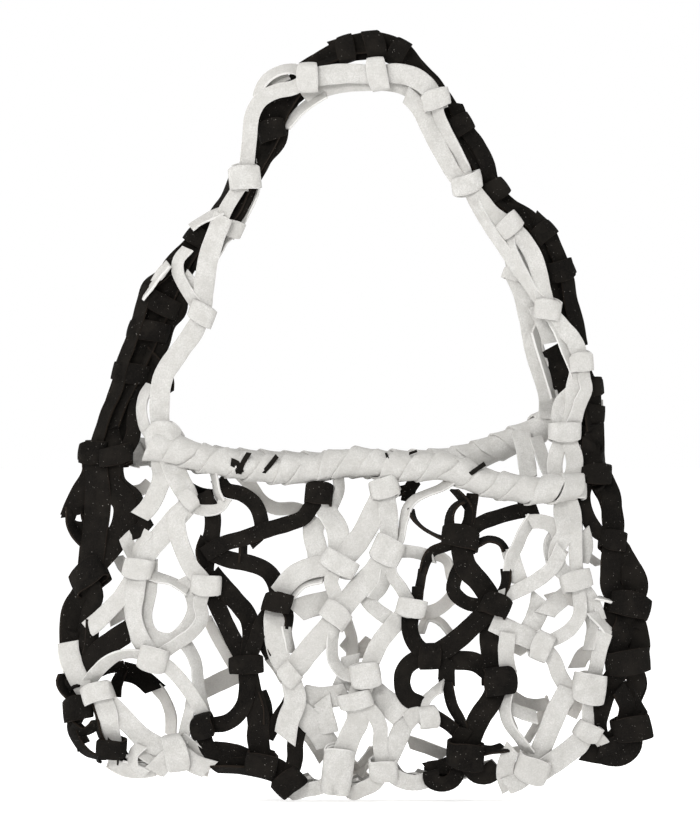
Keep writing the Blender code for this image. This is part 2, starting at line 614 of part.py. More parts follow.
NODES = [
    # node, colour, maker of its pieces, what the maker is given
    ("rim_front", WHITE, rim_pieces, ("front",)),
    ("rim_back", WHITE, rim_pieces, ("back",)),
    ("base_white", WHITE, base_pieces, ("white",)),
    ("base_black_left", BLACK, base_pieces, ("black_left",)),
    ("base_black_right", BLACK, base_pieces, ("black_right",)),
    ("handle_white", WHITE, handle_pieces, ("handle_white",)),
    ("handle_white_inner", WHITE, handle_pieces, ("handle_white_inner",)),
    ("handle_black", BLACK, handle_pieces, ("handle_black",)),
    ("front_white_mid", WHITE, net_pieces, ("white_mid", -1)),
    ("front_white_left", WHITE, net_pieces, ("white_left", -1)),
    ("front_white_right", WHITE, net_pieces, ("white_right", -1)),
    ("front_black_left", BLACK, net_pieces, ("black_left", -1)),
    ("front_black_right", BLACK, net_pieces, ("black_right", -1)),
    ("side_black_left", BLACK, side_pieces, ("side_left",)),
    ("side_black_right", BLACK, side_pieces, ("side_right",)),
    ("back_white_mid", WHITE, net_pieces, ("white_mid", 1)),
    ("back_white_left", WHITE, net_pieces, ("white_left", 1)),
    ("back_white_right", WHITE, net_pieces, ("white_right", 1)),
    ("back_black_left", BLACK, net_pieces, ("black_left", 1)),
    ("back_black_right", BLACK, net_pieces, ("black_right", 1)),
]


def build():
    for thing in list(bpy.data.objects):
        bpy.data.objects.remove(thing)
    placed = []
    for node, colour, maker, given in NODES:
        pieces = maker(*given)
        whole = as_object(pieces[0], node)
        for piece in pieces[1:]:
            combine(whole, as_object(piece, "piece"), "UNION")
        box = data_bounds(whole.data)
        for other_box, other_maker, other_given in placed:
            if not meet(box, other_box):
                continue
            for piece in other_maker(*other_given, grow=GAP):
                if meet(box, bounds(piece)):
                    combine(whole, as_object(piece, "piece"), "DIFFERENCE")
                else:
                    piece.free()
        parts = keep_largest(whole)
        simplify(whole, KEEP)
        whole.data.name = node
        whole.data.materials.clear()
        whole.data.materials.append(material("suede_" + node, colour, 0.92))
        placed.append((data_bounds(whole.data), maker, given))
        print(node, "triangles", len(whole.data.polygons), "islands", parts, closed(whole.data))


build()
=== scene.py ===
import math

import bpy
import numpy as np
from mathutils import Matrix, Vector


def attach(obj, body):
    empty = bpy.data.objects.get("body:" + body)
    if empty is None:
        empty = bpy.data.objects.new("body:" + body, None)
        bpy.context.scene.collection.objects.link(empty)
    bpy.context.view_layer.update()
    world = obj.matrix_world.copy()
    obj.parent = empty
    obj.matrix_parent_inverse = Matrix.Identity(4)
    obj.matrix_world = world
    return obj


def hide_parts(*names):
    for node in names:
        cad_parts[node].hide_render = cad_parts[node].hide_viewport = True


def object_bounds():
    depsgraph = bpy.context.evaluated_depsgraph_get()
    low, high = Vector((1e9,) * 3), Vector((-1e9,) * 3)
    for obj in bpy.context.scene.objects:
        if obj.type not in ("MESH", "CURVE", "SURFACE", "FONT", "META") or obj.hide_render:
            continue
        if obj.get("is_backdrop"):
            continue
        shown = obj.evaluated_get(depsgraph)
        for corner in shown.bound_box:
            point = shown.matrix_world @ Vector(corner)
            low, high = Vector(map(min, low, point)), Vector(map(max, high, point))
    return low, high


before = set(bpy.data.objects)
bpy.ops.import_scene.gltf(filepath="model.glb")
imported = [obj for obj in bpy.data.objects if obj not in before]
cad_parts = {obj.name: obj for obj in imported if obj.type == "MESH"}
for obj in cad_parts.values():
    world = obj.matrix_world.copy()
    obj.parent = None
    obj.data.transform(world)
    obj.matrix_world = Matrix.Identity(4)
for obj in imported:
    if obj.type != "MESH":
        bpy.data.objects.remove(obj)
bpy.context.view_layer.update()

# A shoulder bag knotted from flat suede strips, white and black: the visible pieces, laid over the
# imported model.  Strips and knots are set out on a knotting chart that lies over the front of the
# bag: across (to the right) and down, in chart units of 0.6 mm, the same chart as the CAD uses.

UNIT = 0.0006
CENTRE_ACROSS = 355.8
FLOOR_DOWN = 802.0
THICK = 0.0016              # one strip
STEP = 3.4                  # chart units between two sections of a strip
CAMERA_AWAY = 6.0
CAMERA_ROW = (350.0, 419.2)  # the chart place that the camera looks at
VIEW_TALL = 0.504            # height of the view at the front of the bag (m)

DEPTH = [(430, 25.0), (466, 26.0), (540, 35.0), (640, 40.0), (720, 38.0), (765, 31.0), (802, 24.0)]
SIDES = [(430, 80, 607), (500, 64, 624), (560, 64, 640), (640, 55, 655), (700, 58, 655),
         (760, 72, 645), (802, 80, 640)]

# ------------------------------------------------------------------ the chart
# name: across, down, width across the strips it ties, width of the band, turned (degrees,
# clockwise), stands off the net (mm), half thickness (mm)
KNOTS = {
    # white, left
    "A1": (164, 437, 34, 18, -4, 0, 5.0, 4.5), "A2": (189, 501, 18, 15, 42, 1, 4.2),
    "A3": (139, 568, 27, 20, 12, 0, 4.4), "A4": (207, 584, 27, 20, 2, 1, 4.4),
    "A5": (154, 658, 26, 26, 14, 0, 4.4), "A6": (98, 693, 29, 19, -22, 0, 4.4),
    "A7": (176, 753, 34, 22, 82, 0, 5.0),
    # black, left chain
    "B1": (319.5, 494, 24, 23, 8, 1, 4.4), "B2": (278, 602.5, 25, 20, 17, 0, 4.4),
    "B3": (247, 664, 31, 18, -2, 0, 4.4), "B4": (203, 726, 20, 22, 72, 0, 4.4),
    "B5": (262, 762, 28, 22, 12, 0, 4.4), "B6": (289, 781.5, 28, 23, -42, 0, 4.6),
    # white, middle
    "M1": (290, 674, 21, 18, 45, 1, 4.4), "M2": (336, 615, 27, 20, 36, 0, 4.6),
    "M3": (340, 563, 34, 19, 32, 0, 4.6), "M4": (385, 487, 26, 20, -14, 1, 4.6),
    "M5": (388, 550, 28, 26, 24, 0, 4.8), "M6": (412, 607, 26, 18, 18, 1.5, 4.6),
    "M7": (428, 717, 18, 19, 82, 1, 4.0), "M8": (366, 674, 27, 24, -8, 1, 4.6),
    "M9": (356, 699, 30, 17, -18, 0.5, 4.6), "M10": (384, 768.5, 25, 22, 0, 0, 4.6),
    "M11": (338, 771, 26, 48, 4, 0, 4.8),
    # black, right chain
    "C1": (461, 538, 34, 22, 4, 0, 5.0), "C2": (496, 606, 25, 22, 24, 0, 4.4),
    "C3": (430, 656, 22, 22, 88, 0, 4.8), "C4": (499, 681, 24, 32, 86, 0, 4.6),
    "C5": (466, 754, 34, 26, 4, 0, 5.0),
    # white, right
    "R1": (566, 431, 28, 19, 2, 0, 4.8), "R2": (565, 487, 42, 21, -4, 0, 5.0),
    "R3": (577, 580, 28, 19, -13, 1, 4.4), "R4": (542, 645, 26, 19, -66, 0, 4.4),
    "R5": (590, 687, 30, 30, 8, 0, 4.6), "R6": (589, 731, 22, 18, 32, 1, 4.2),
    "R7": (533, 768, 30, 26, 20, 0, 4.6),
    # black, left side
    "L1": (116, 455, 30, 19, -4, 0, 5.0), "L2": (93, 452, 25, 22, 4, 0, 4.6),
    "L3": (89, 576, 36, 26, -26, 0, 5.0), "L4": (78, 709, 26, 24, -6, 0, 4.6),
    "L5": (112, 748, 26, 20, 4, 0, 4.6),
    # black, right side
    "S1": (597, 475, 28, 20, 0, 0, 4.8), "S2": (614, 541, 23, 20, 8, 0, 4.8),
    "S3": (631, 606, 38, 24, 16, 0, 4.8), "S4": (629, 661, 44, 24, -6, 0, 4.8),
    "S5": (633, 728, 36, 24, -14, 0, 4.8),
}

# One strip a line: column, visible width, then chart places or knots.  A place may carry its own
# distance off the net (mm).  Later lines lie over earlier ones.  Marks: ^mm the whole strip's
# distance off the net, ~degrees a roll about its own length, cut an end that shows.
FRONT = """
wl 16 ^-3 150,560 149,590 144,617 151,634 162,640 174,639 188,625 195,608 191,590 184,576
wl 13 ^-5 124,534 129,547 136,560
wl 13 ^-5 148,530 140,544 134,558
wl 13 ^-3 194,686 189,712 182,742 under
wl 12 ^-2 181,736 192,744 204,754 under
wl 12 ^-5 181,638 190,650 196,664 198,682 202,702 206,720 under
wl 10 ^-2 A3 155,576 172,581 188,590
wl 8 ^0 212,466 215,480 217,492 222,502
wl 13 ^0 226,498,-2 219,507 209,509.5 198,508 A2
wl 19 A1 160,462 161,478 156,493 148,507 139,516,-7 cut
wl 22 A1 172,464 180,482 A2 177,516 162,534 148,551 A3
wl 18 A2 177,516 178,534 184,552 192,568 A4
wl 18 A3 122,595 109,609 97,621 87,629,-6 cut
wl 20 ~12 A3 135,590 133,612 139,636 A5
wl 13 ~-40 A4 200,602 202,617 193,631 178,642 A5
wl 11 A5 132,653 118,655 106,662 95,673 88,682
wl 14 A5 170,668 186,686 199,706 206,722,-3
wl 21 ^1 67,642,-3 69,656 75,673 84,690
wl 21 A6 127,722 146,740 A7
wl 21 ^1 A6 107,712 109,728 112,743,-3 cut
wl 14 109,761,-4 122,769 139,772 157,769
wl 12 ^-5 136,748 147,756 160,762
wl 12 ~40 141,745 133,754 134,768 146,774
wl 20 154,772,-3 A7 195,764 210,769
wl 6 598,597 609,600 618,604 cut
bl 13 ^-3 286,676 291,689 289,701 279,716 268,738
bl 9 ^-3 266,611 262,634 264,646 269,657
bl 9 ^-3 262,690 267,705 268,722
bl 7 243,541 243,562
bl 14 214,748 236,751 B5
bl 17 202,492 212,512 212,532 207,552 A4 215,600 229,630 B3
bl 12 206,538 201,552 206,566
bl 17 206,550 230,559 251,563 268,571 276,584 B2
bl 15 218,479 226,489 241,493 254.5,503 260.5,517 261,530 249,542
bl 16 B1 310,508 303,517 288,523 267,529 245,537 224,543 204,554 over
bl 19 212,573 232,596 248,616 252,635 B3
bl 15 B2 263,620 256,640 B3
bl 8 B2 288,612 288,629 cut
bl 22 B3 251,690 258,716 258,738 B5
bl 16 B3 247,686 243,706 229,721 B4
bl 16 B4 206,744 216,758 228,764 B5
bl 12 214,769 232,769 250,771 B6
bl 22 B5 278,769 B6
bl 16 299,726,-3 295,744 295,757 B6
bl 9 B1 318,478 319,466
wm 21 ^-3 316,516 313,532 317,549 319,566
wm 12 ^-3 338,476 339,490 331,508
wm 9 ^-2 292,594 303,584 324,579
wm 23 ^-5 294,611 311,605 330,601
wm 18 ^-6 351,654 348,671 341,688
wm 22 ^-5 298,694 322,697 348,693
wm 24 ^-7 296,708 312,722 329,746
wm 18 ^-8 322,698 325,714 330,732
wm 24 ^-6 372,690 386,701 402,716
wm 15 ^-3 362,590 373,606 392,620
wm 12 ^-2 386,566 383,584 372,598
wm 9 ^-3 286,626 291,652
wm 13 ^-2 M5 412,551 434,556 under
wm 9 ~45 452,480 441,487 428,492 415,498.5 407.5,507 404,520 399,540 M5
wm 22 ~-8 B1 327,511 337,528 M3
wm 21 M3 308,568 293,576 278,594
wm 14 M3 331,580 336,596 M2
wm 23 M4 374,512 361,536 M3
wm 19 M4 388,508 389,526 M5
wm 22 M5 373,572 358,588 M2
wm 13 M5 392,574 401,587 M6
wm 11 ~-30 M2 332,646 334,661 346,674 M8
wm 18 M6 393,625 379,643 372,658 M8
wm 21 275,604 274.5,632 278,652 M1
wm 23 M2 325,631 311,647 M1
wm 22 M1 295,700 288,720 285,738,-1 cut
wm 24 M8 361,688 M9
wm 23 M9 358,718 350,736 M11
wm 15 M9 372,711 380,726 380,745 M10
wm 20 414,702 405,721 397,740 M10 under
wm 10 ^-3 443,685 433,692 424,703 M7
wm 17 M7 416,714 407,722
wm 15 288,796,-2 305,790 322,786 M11
wm 16 M10 374,783 360,790 347,797,-2
wm 17 M10 402,780 416,782.5 430,779,-4 under
br 6 411,508 413.5,517 421,525.5 431,532 443,537 C1
br 6 454,489 464,500 471,514 C1
br 11 473,493 471,506 469,521 C1
br 7 469,499.5 458,503 450.5,513 450.5,529 C1
br 15 ^1 C1 480,523 499,516 517,511 531,509
br 18 524,489 527,503 531,515 cut
br 8 C1 474,543.5 488,538.5 500,541.5 507,551 cut
br 14 460,566 455,578 453.5,590 466,602 C2
br 9 506,568 506,582 C2
br 9 C1 444,546 432,551 426,561 423,572
br 8 423,567 420.5,582 417.5,598
br 12 418,586 417,602
br 17 410,617 410,630 416,644 C3 over
br 22 C1 462.5,554 466.5,567 480,582 C2
br 19 C3 456,659.5 476,662 C4
br 17 447.5,658 446.5,670 446.5,682 cut
br 11 447,680 452,704 461,722 C5
br 20 C2 490,626 490,648 C4
br 20 C2 481,617 464,633 447,646 C3
br 17 C3 414,660 404,670 402.5,686 408.5,698 423,705 cut
br 13 436,716.5 449,724.5 462,737
br 22 C4 491,700 478.5,719 C5
br 15 465,728 457,744 454,762
br 15 458,759 442,766 427,769 cut
br 16 451,757 458,768 453,780 442,784 432,780 431,770
br 20 C5 475,771 486,774.5 498,766
br 6 C5 482,750 493,749 505,747 cut
wr 20 ^-3 541,596 538,611 527,634
wr 18 ^-6 545,614 554,605 565,596
wr 17 ^-3 509,548 515,566 521,584
wr 18 ^-5 560,531 552,546 557,568
wr 14 ^-4 584,530 587,546 582,562
wr 10 ^-3 590,610 593,628 589,650
wr 13 531,519 523,532 517,546 511,557 509,570
wr 15 529,521 542,521 554,526 563,542
wr 15 R1 556,455 556,474 R2
wr 17 R1 575,457 574,472 R2
wr 17 R2 562,512 565,532 557,550 560,568 R3
wr 13 ^1 R2 574,508 575.5,530 576,555 R3
wr 15 562,548 553,566 538,579 520,589 501,597
wr 17 R3 590,599 595.5,611 599,620
wr 13 593,612 602,623 611,634 cut
wr 15 ~20 606,632 601,646 598,660 594,680
wr 13 R3 580,600 580,614 570,629 R4
wr 20 R4 527,637 511,630 492,621
wr 12 ^-4 508,706 521,712 537,717
wr 16 508,632 506,650 507,664 510,675
wr 16 R4 554,660 560,676 570,688 R5
wr 11 ~30 508,691 505,708 509,724 520,739 531,754
wr 21 569,688 558,708 549,730 R7
wr 13 R5 588,712 R6
wr 23 R6 579,743 564,755 547,767 529,778
wr 17 513,747 507,760 505,775 510,789,-3
wr 18 R7 521,780 506,786
wr 10 R6 598,737 604,744 cut
sl 17 L2 90,474 81,489 74,503 69,516,-1 cut
sl 9 ^-2 69,510 70,524 75.5,535 84,543 96,548 L3
sl 18 L1 114,470 117,483 134,499 134,517 113,547 L3
sl 14 150,518 138,530 123,535 110,543,-1
sl 24 L1 108,480 124,503 121,528 104,552 L3
sl 27 L2 96,476 97,505 94,535 L3
sl 21 L3 81,594 72,610 70,638 72,664 L4
sl 17 L3 95,596 88,614 84,640 88,658 81,684 L4
sl 12 ^-1 92,620 91,640 88,656
sl 22 129,630 112,641 97,653 85,669,-1
sl 7 61.5,674 59,681 62.5,690 69,697
sl 10 L4 71,728 77,743 86,753 96,757 105,757 cut
sl 9 90,700 96,716 98,731 104,746
sl 8 71,725 81,732 90,729 97,720
sl 10 118,750 122,758 122,767,-4
sr 20 594,424 S1 609,498 614,520 S2
sr 15 590,440 589,472 583,494 586.5,513 597,530 S2
sr 19 600,470 611,496 612,520 S2
sr 24 S2 626,562 636,584 S3
sr 14 613,598 611,613 618,628
sr 24 S2 611,571 613,590 S3
sr 22 S3 637,630 639,648 S4
sr 24 S3 624,630 617,648 S4
sr 20 S4 637,682 631,702 S5
sr 21 S4 611,682 602,704 597,726 602,746
sr 14 632,684 633,700 643,718
sr 18 619,688 628,708 622,728 608,745
sr 18 S5 632,747 619,757.5 603,755.5 585,752
sr 16 S5 619,742 599,750
"""

# The back net as it shows through the front one.
BACK_SEEN = """
wm 10 379,747 371,755 362,766
wl 12 134,491 142,489 151,482
wl 12 135,440 140,452 134,466
wl 20 196,694 216,684 238,674
wl 11 206,616 218,640 232,664
wl 12 156,687 165,699 171,716 171,736
wl 12 190,588 196,606 190,630
wl 14 110,620 124,612 134,604
wl 11 118,556 124,566 130,574
bl 11 104,671 112,667.5 124,666
bl 21 123,671 138,675.5 156,690 cut
bl 11 122,672 116.5,686 116,697
bl 16 184,486 200,494 214,496
wm 14 243,476 252,486 262,500 276,508 294,508 306,512
wm 18 299,724 313,739 325,758
wm 13 346,620 352,640 351,670
wm 16 344,640 358,652 372,640
wm 12 374,748 366,762 358,776
wm 13 350,764 362,776 370,786
wm 12 408,742 426,748 446,756
wm 12 430,553 446,560 452,578
wm 15 425,614 440,608 453,596
wm 9 420,634 428,618 440,622 452,636
wm 11 267,655 278,670 285,682
br 14 417,478 410,488 407,501
br 9 397,491 406,489
wr 14 510,696 528,705 550,704
wr 11 548,700 538,722 526,742
wr 17 576,668 583,655 595,649
wr 4 587,556 599,564
wr 14 548,600 562,597 577,601
wr 14 512,640 520,650 528,636
wr 18 556,700 568,706 580,712
wr 13 500,700 506,714 512,730
"""

# The rest of the back: the front's main strips once more, a little inside their outlines.
BACK_SKIP = 13

# Handle: strips at their own depth (mm in front of the middle plane), drawn from the back
# forward.
HANDLE = """
hb 20 105,440,-13 110,412,-12 121,380,-8 132,350,-6 143,322,-5 155,294,-5 172,264,-5 194,242,-5
hb 18 ~25 122,452,14 124,428,12 130,402,9 140,372,6 150,345,4 160,318,3 168,292,2 176,268,1
hb 14 305,64,-1 318,56,-1 335,46,-1
hb 20 345,46,-2 318,60,-3 298,84,-3 282,110,-3 270,138,-3 256,164,-3 243,188,-3 236,208,-3 219,229,-3 200,243,-3 186,262,-3 173,290,-3 160,318,-3 147,346,-2 134,372,0 122,396,4 112,424,9 106,448,14
hb 16 318,58,1 302,86,0 286,102,0 281,122,0 278,138,0 264,156,-1 252,178,-1 245,196,-1 238,209,-1 226,223,-1
hb 20 330,53,2 300,76,1 277,100,1 266,120,1 265,146,1 254,170,0 243,189,0 237,206,0 224,222,0 204,233,0 188,248,1 175,264,1 164,284,2 154,304,2 144,328,3 134,352,4 126,378,5 116,400,8 107,422,11 L1
hb 9 ~30 240,162,1 232,176,1 225,193,1 214,211,1
hb 13 174,262,2 159,275,3 147,284,4 142,299,4 137,318,5 129,342,6 120,366,7 116,388,8 106,410,10 99,432,13 L2
hb 13 203,247,3 194,256,3 191,265,3
hb 14 176,272,3 180,296,4 178,311,5 168,323,5 162,342,5 154,360,6 145,386,8 cut
hb 12 146,352,2 158,366,3 167,378,4 167,393,4 cut
hb 15 150,372,3 138,392,7 134,412,10 132,436,14 124,452,15
hb 22 332,50,-4 352,44,-4 378,42,-4 400,47,-4 413,63,-4 433,84,-4 449,108,-4 464,134,-4 480,161,-4 491,186,-3 509,206,-3 530,219,-3 545,238,-3 553,260,-3 562,284,-3 568,312,-3 574,338,-3 579,362,-4 589,390,-6 592,420,-10 591,448,-12
hb 20 322,58,0 345,50,0 372,46,0 396,50,0 414,66,0 434,88,0 448,114,0 460,138,0 475,160,0 485,184,0 501,206,0 526,217,0 543,235,0 552,252,1 557,275,1 563,300,2 569,324,3 575,345,3 581,366,5 588,388,8 591,410,11 592,452,14 S1
hb 12 484,186,2 500,212,2 517,230,2 536,246,2 546,266,2 552,292,2 558,312,2
hb 26 554,345,-3 558,360,-4 564,378,-4 566,390,-6 560,403,-8
hb 20 333,47,4 350,42,5 372,38.5,5 392,42.5,4 406,52,3 418,71,2 430,84,2
hb 18 435,97,3 445,113,4 457,129,4 469,151,4 482,171,3 493,185,3 501,197,3
hb 16 ~-30 455,100,2 465,124,3 478,142,3 488,162,2 492,180,1
hb 16 ~-25 536,216,3 548,228,4 556,246,4 563,262,4 569,280,4 572,300,4 578,322,4 582,346,4
hb 13 583,372,6 594,384,6 596,404,8 595,424,10 588,446,12
hb 14 ~50 345,50,-8 318,62,-8 299,86,-8 284,110,-8 271,140,-8 255,168,-8 243,190,-8 234,210,-8 208,235,-8 189,256,-8 174,286,-8 160,318,-8 148,346,-7 135,374,-5 122,400,-2 112,428,5
hb 14 ~-50 345,48,-8 372,45,-8 399,50,-8 416,70,-8 434,92,-8 450,118,-8 465,144,-8 481,170,-8 497,197,-8 528,219,-8 545,244,-8 554,276,-7 563,310,-7 572,340,-6 579,366,-5 588,394,-3 592,430,2
hi 18 522,430,-14 526,450,-4 530,480,10
hi 13 537,436,-12 545,460,0 552,480,10
hi 15 302,93,2 317,89,2 340,83,2 365,81,2 386,81,2 407,86,2 423,98,1 437,121,1 450,146,0 465,172,0 482,196,0 500,224,-1 513,250,-2 519,271,-3
hi 15 511,230,0 524,256,0 534,280,0 541,300,0
hi 12 288,72,2 272,80,2 258,94,2
hi 10 ~35 326,91,3 312,99,2 298,110,1 285,126,0
hi 12 469,181,1 483,205,0 499,233,-1 512,258,-2 H8
hi 20 H8 524,292,-4 530,318,-6 535,346,-9 543,372,-13 550,396,-17 550,418,-19
hi 15 536,304,0 546,326,-1 551,342,-3
hi 9 535,326,-5 542,350,-8 551,376,-12 556,396,-15
hi 9 254,160,1 255,179,0 252,196,-1 244,212,-1 H9 under
hi 10 H9 221,241,-2 213,257,-3
hw 9 168,262,6 161,270,7 155,279,7
hw 3 167,264,8 156,278,8 148,289,8 143,296,8
hw 9 ~20 224,208,9 210,214,8 199,219.5,8 190,226,7
hw 12 184,274,8 192,284,9 199,298,10
hw 12 187,247,7 178,258,8 177,270,9 183,284,10 H3
hw 10 ~30 150,384,9 143,396,13 141,412,16 148,432,19 A1
hw 9 ~50 H1 296,67,8 280,68,7 266,76,6 259,87,5 256,98,4
hw 15 H1 294,85,8 276,89,8 261,97,8 252,112,8 249,136,8 H2
hw 14 H2 234,193,9 226,206,9 219,222,9
hw 20 223,214,8.5 214,237,9 208,256,9 205,273,9.5 203,290,11 H3
hw 20 H3 192,332,12 177,353,14 163,375,16 159,400,18 160,424,20 A1
hw 20 H1 325,73,9 348,71,9 H4 395,71,9 412,74,9 426,83,9 H5
hw 10 H5 439,112,9 451,137,9 465,164,9 H6
hw 17 ^0 406,92,6 418,104,6 430,127,6 443,152,7 458,176,7 H6
hw 12 H6 476,202,9 490,226,9 508,252,10 525,277,10 H10
hw 18 H6 481,199,10 494,214,10 H7
hw 10 H7 510,241,11 519,263,11 533,289,11 H10
hw 17 H7 524,238,12 534,254,12 540,272,12 543,288,12 H10
hw 11 H10 559,329,13 567,348,13 576,370,14 580,392,14
hw 17 H10 564,327,14 575,340,14 H11
hw 16 575,390,15 563,402,15 560,416,16 R1
hw 20 H11 577,384,16 576,404,16 572,422,16 R1
hw 13 ~-30 H11 585,378,15 587,388,15 581,402,15 576,417,15 569,431,15
"""
# Black strip that shows between the wraps of the front rim.
RIM_BITS = """
kb 4.5 263,472,33.9 270,464,34.7 277,455,34.0
kb 5 239,473,33.8 243,462,34.6 249,452,33.6
kb 8 231,461,34.4 237,464,34.6 240,472,34.0
kb 4.5 468,475,34.6 476,469,35.4 485,463,34.6
kb 2.5 386,452,33.8 388,458,34.4
kb 2.5 409,453,33.6 417,450,33.2
"""
HANDLE_KNOTS = {
    "H1": (308, 76, 27, 20, 88, 9, 4.4), "H2": (245, 176, 28, 24, -4, 9, 4.2),
    "H3": (202, 313, 24, 20, 20, 11, 4.2), "H4": (378, 72, 30, 20, 88, 9, 4.2),
    "H5": (437, 97, 25, 19, -12, 9, 4.2), "H6": (468, 181, 27, 19, -12, 9, 4.2),
    "H7": (511, 223, 22, 19, -38, 11, 4.2), "H8": (514, 273, 16, 13, 20, -3, 4.0),
    "H9": (233, 227, 17, 17, 22, -1, 4.4), "H10": (549, 309, 23, 20, 4, 12, 4.2),
    "H11": (583, 362, 20, 19, -4, 14, 4.2),
}
# Black wraps round the handle: across, down, wide, tall, turned, depth, half thickness
HANDLE_WRAPS = [
    (374, 43, 26, 20, 86, 1, 6.0), (346, 47, 24, 18, 70, 1, 5.6), (399, 50, 24, 18, 118, 1, 5.6),
    (272, 128, 24, 20, -12, -1, 5.5), (199, 238, 26, 18, 40, -1, 5.6), (159, 301, 40, 20, 22, 0, 6.0),
    (148, 330, 38, 20, 18, 0, 6.0), (130, 372, 33, 20, 16, 1, 6.0), (459, 124, 28, 20, -28, 0, 5.6),
    (496, 188, 24, 20, -34, 0, 5.6), (545, 232, 24, 18, -40, 0, 6.0), (562, 268, 25, 20, -14, 0, 6.0),
    (593, 386, 20, 18, -4, 2, 6.0), (594, 411, 22, 18, 4, 2, 7.0),
]


# ------------------------------------------------------------------ chart to space
def table_value(table, rows, column):
    return np.interp(rows, [r[0] for r in table], [r[column] for r in table])


def half_depth(across, down):
    left, right = table_value(SIDES, down, 1), table_value(SIDES, down, 2)
    side = np.minimum(np.abs((across - (left + right) / 2) / ((right - left) / 2)), 0.93)
    return 0.001 * table_value(DEPTH, down, 1) * np.sqrt(1.0 - side ** 3.2)


def net_place(across, down, off, side):
    """Points on the front (-1) or back (+1) net, off (mm) outward from it."""
    y = side * (half_depth(across, down) + 0.001 * off)
    return np.stack([(across - CENTRE_ACROSS) * UNIT, y, (FLOOR_DOWN - down) * UNIT], axis=-1)


def net_normal(across, down, side):
    step = 6.0
    sx = (half_depth(across + step, down) - half_depth(across - step, down)) / (2 * step * UNIT)
    sz = (half_depth(across, down - step) - half_depth(across, down + step)) / (2 * step * UNIT)
    sx, sz = np.clip(sx, -0.8, 0.8), np.clip(sz, -0.6, 0.6)
    n = np.stack([-sx, side * np.ones_like(sx), -sz], axis=-1)
    return n / np.linalg.norm(n, axis=-1, keepdims=True)


def flat_place(across, down, off, side):
    return np.stack([(across - CENTRE_ACROSS) * UNIT, -0.001 * off,
                     (FLOOR_DOWN - down) * UNIT], axis=-1)


def flat_normal(across, down, side):
    n = np.zeros((len(np.atleast_1d(across)), 3))
    n[:, 1] = -1.0
    return n


def unit(v):
    return v / np.maximum(np.linalg.norm(v, axis=-1, keepdims=True), 1e-12)


def catmull(points, step):
    """A smooth curve through rows of numbers, the first two being its chart place."""
    p = np.array(points, float)
    if len(p) == 2:
        p = np.stack([p[0], (p[0] + p[1]) / 2, p[1]])
    p = np.vstack([2 * p[0] - p[1], p, 2 * p[-1] - p[-2]])
    gap = np.maximum(np.sqrt(np.linalg.norm(np.diff(p[:, :2], axis=0), axis=1)), 1e-3)
    knot = np.concatenate([[0], np.cumsum(gap)])
    out = []
    for i in range(1, len(p) - 2):
        t0, t1, t2, t3 = knot[i - 1:i + 3]
        t = np.linspace(t1, t2, 14, endpoint=False)[:, None]
        a1 = (t1 - t) / (t1 - t0) * p[i - 1] + (t - t0) / (t1 - t0) * p[i]
        a2 = (t2 - t) / (t2 - t1) * p[i] + (t - t1) / (t2 - t1) * p[i + 1]
        a3 = (t3 - t) / (t3 - t2) * p[i + 1] + (t - t2) / (t3 - t2) * p[i + 2]
        b1 = (t2 - t) / (t2 - t0) * a1 + (t - t0) / (t2 - t0) * a2
        b2 = (t3 - t) / (t3 - t1) * a2 + (t - t1) / (t3 - t1) * a3
        out.append((t2 - t) / (t2 - t1) * b1 + (t - t1) / (t2 - t1) * b2)
    out.append(p[-2][None])
    fine = np.vstack(out)
    run = np.concatenate([[0], np.cumsum(np.linalg.norm(np.diff(fine[:, :2], axis=0), axis=1))])
    count = max(4, int(round(run[-1] / step)) + 1)
    want = np.linspace(0, run[-1], count)
    return np.stack([np.interp(want, run, fine[:, k]) for k in range(fine.shape[1])], axis=1)


def wander(rng, count, reach, step=STEP):
    """Smooth noise of about -1..1 along a strip; reach is its wavelength in chart units."""
    length = count * step
    stops = max(3, int(length / reach) + 3)
    values = rng.uniform(-1, 1, stops)
    at = np.linspace(0, stops - 1, count)
    low = np.clip(at.astype(int), 0, stops - 2)
    f = at - low
    f = f * f * (3 - 2 * f)
    return values[low] * (1 - f) + values[low + 1] * f


# ------------------------------------------------------------------ strips as meshes
ACROSS = np.array([-1.0, -0.965, -0.72, -0.38, 0.0, 0.38, 0.72, 0.965, 1.0])


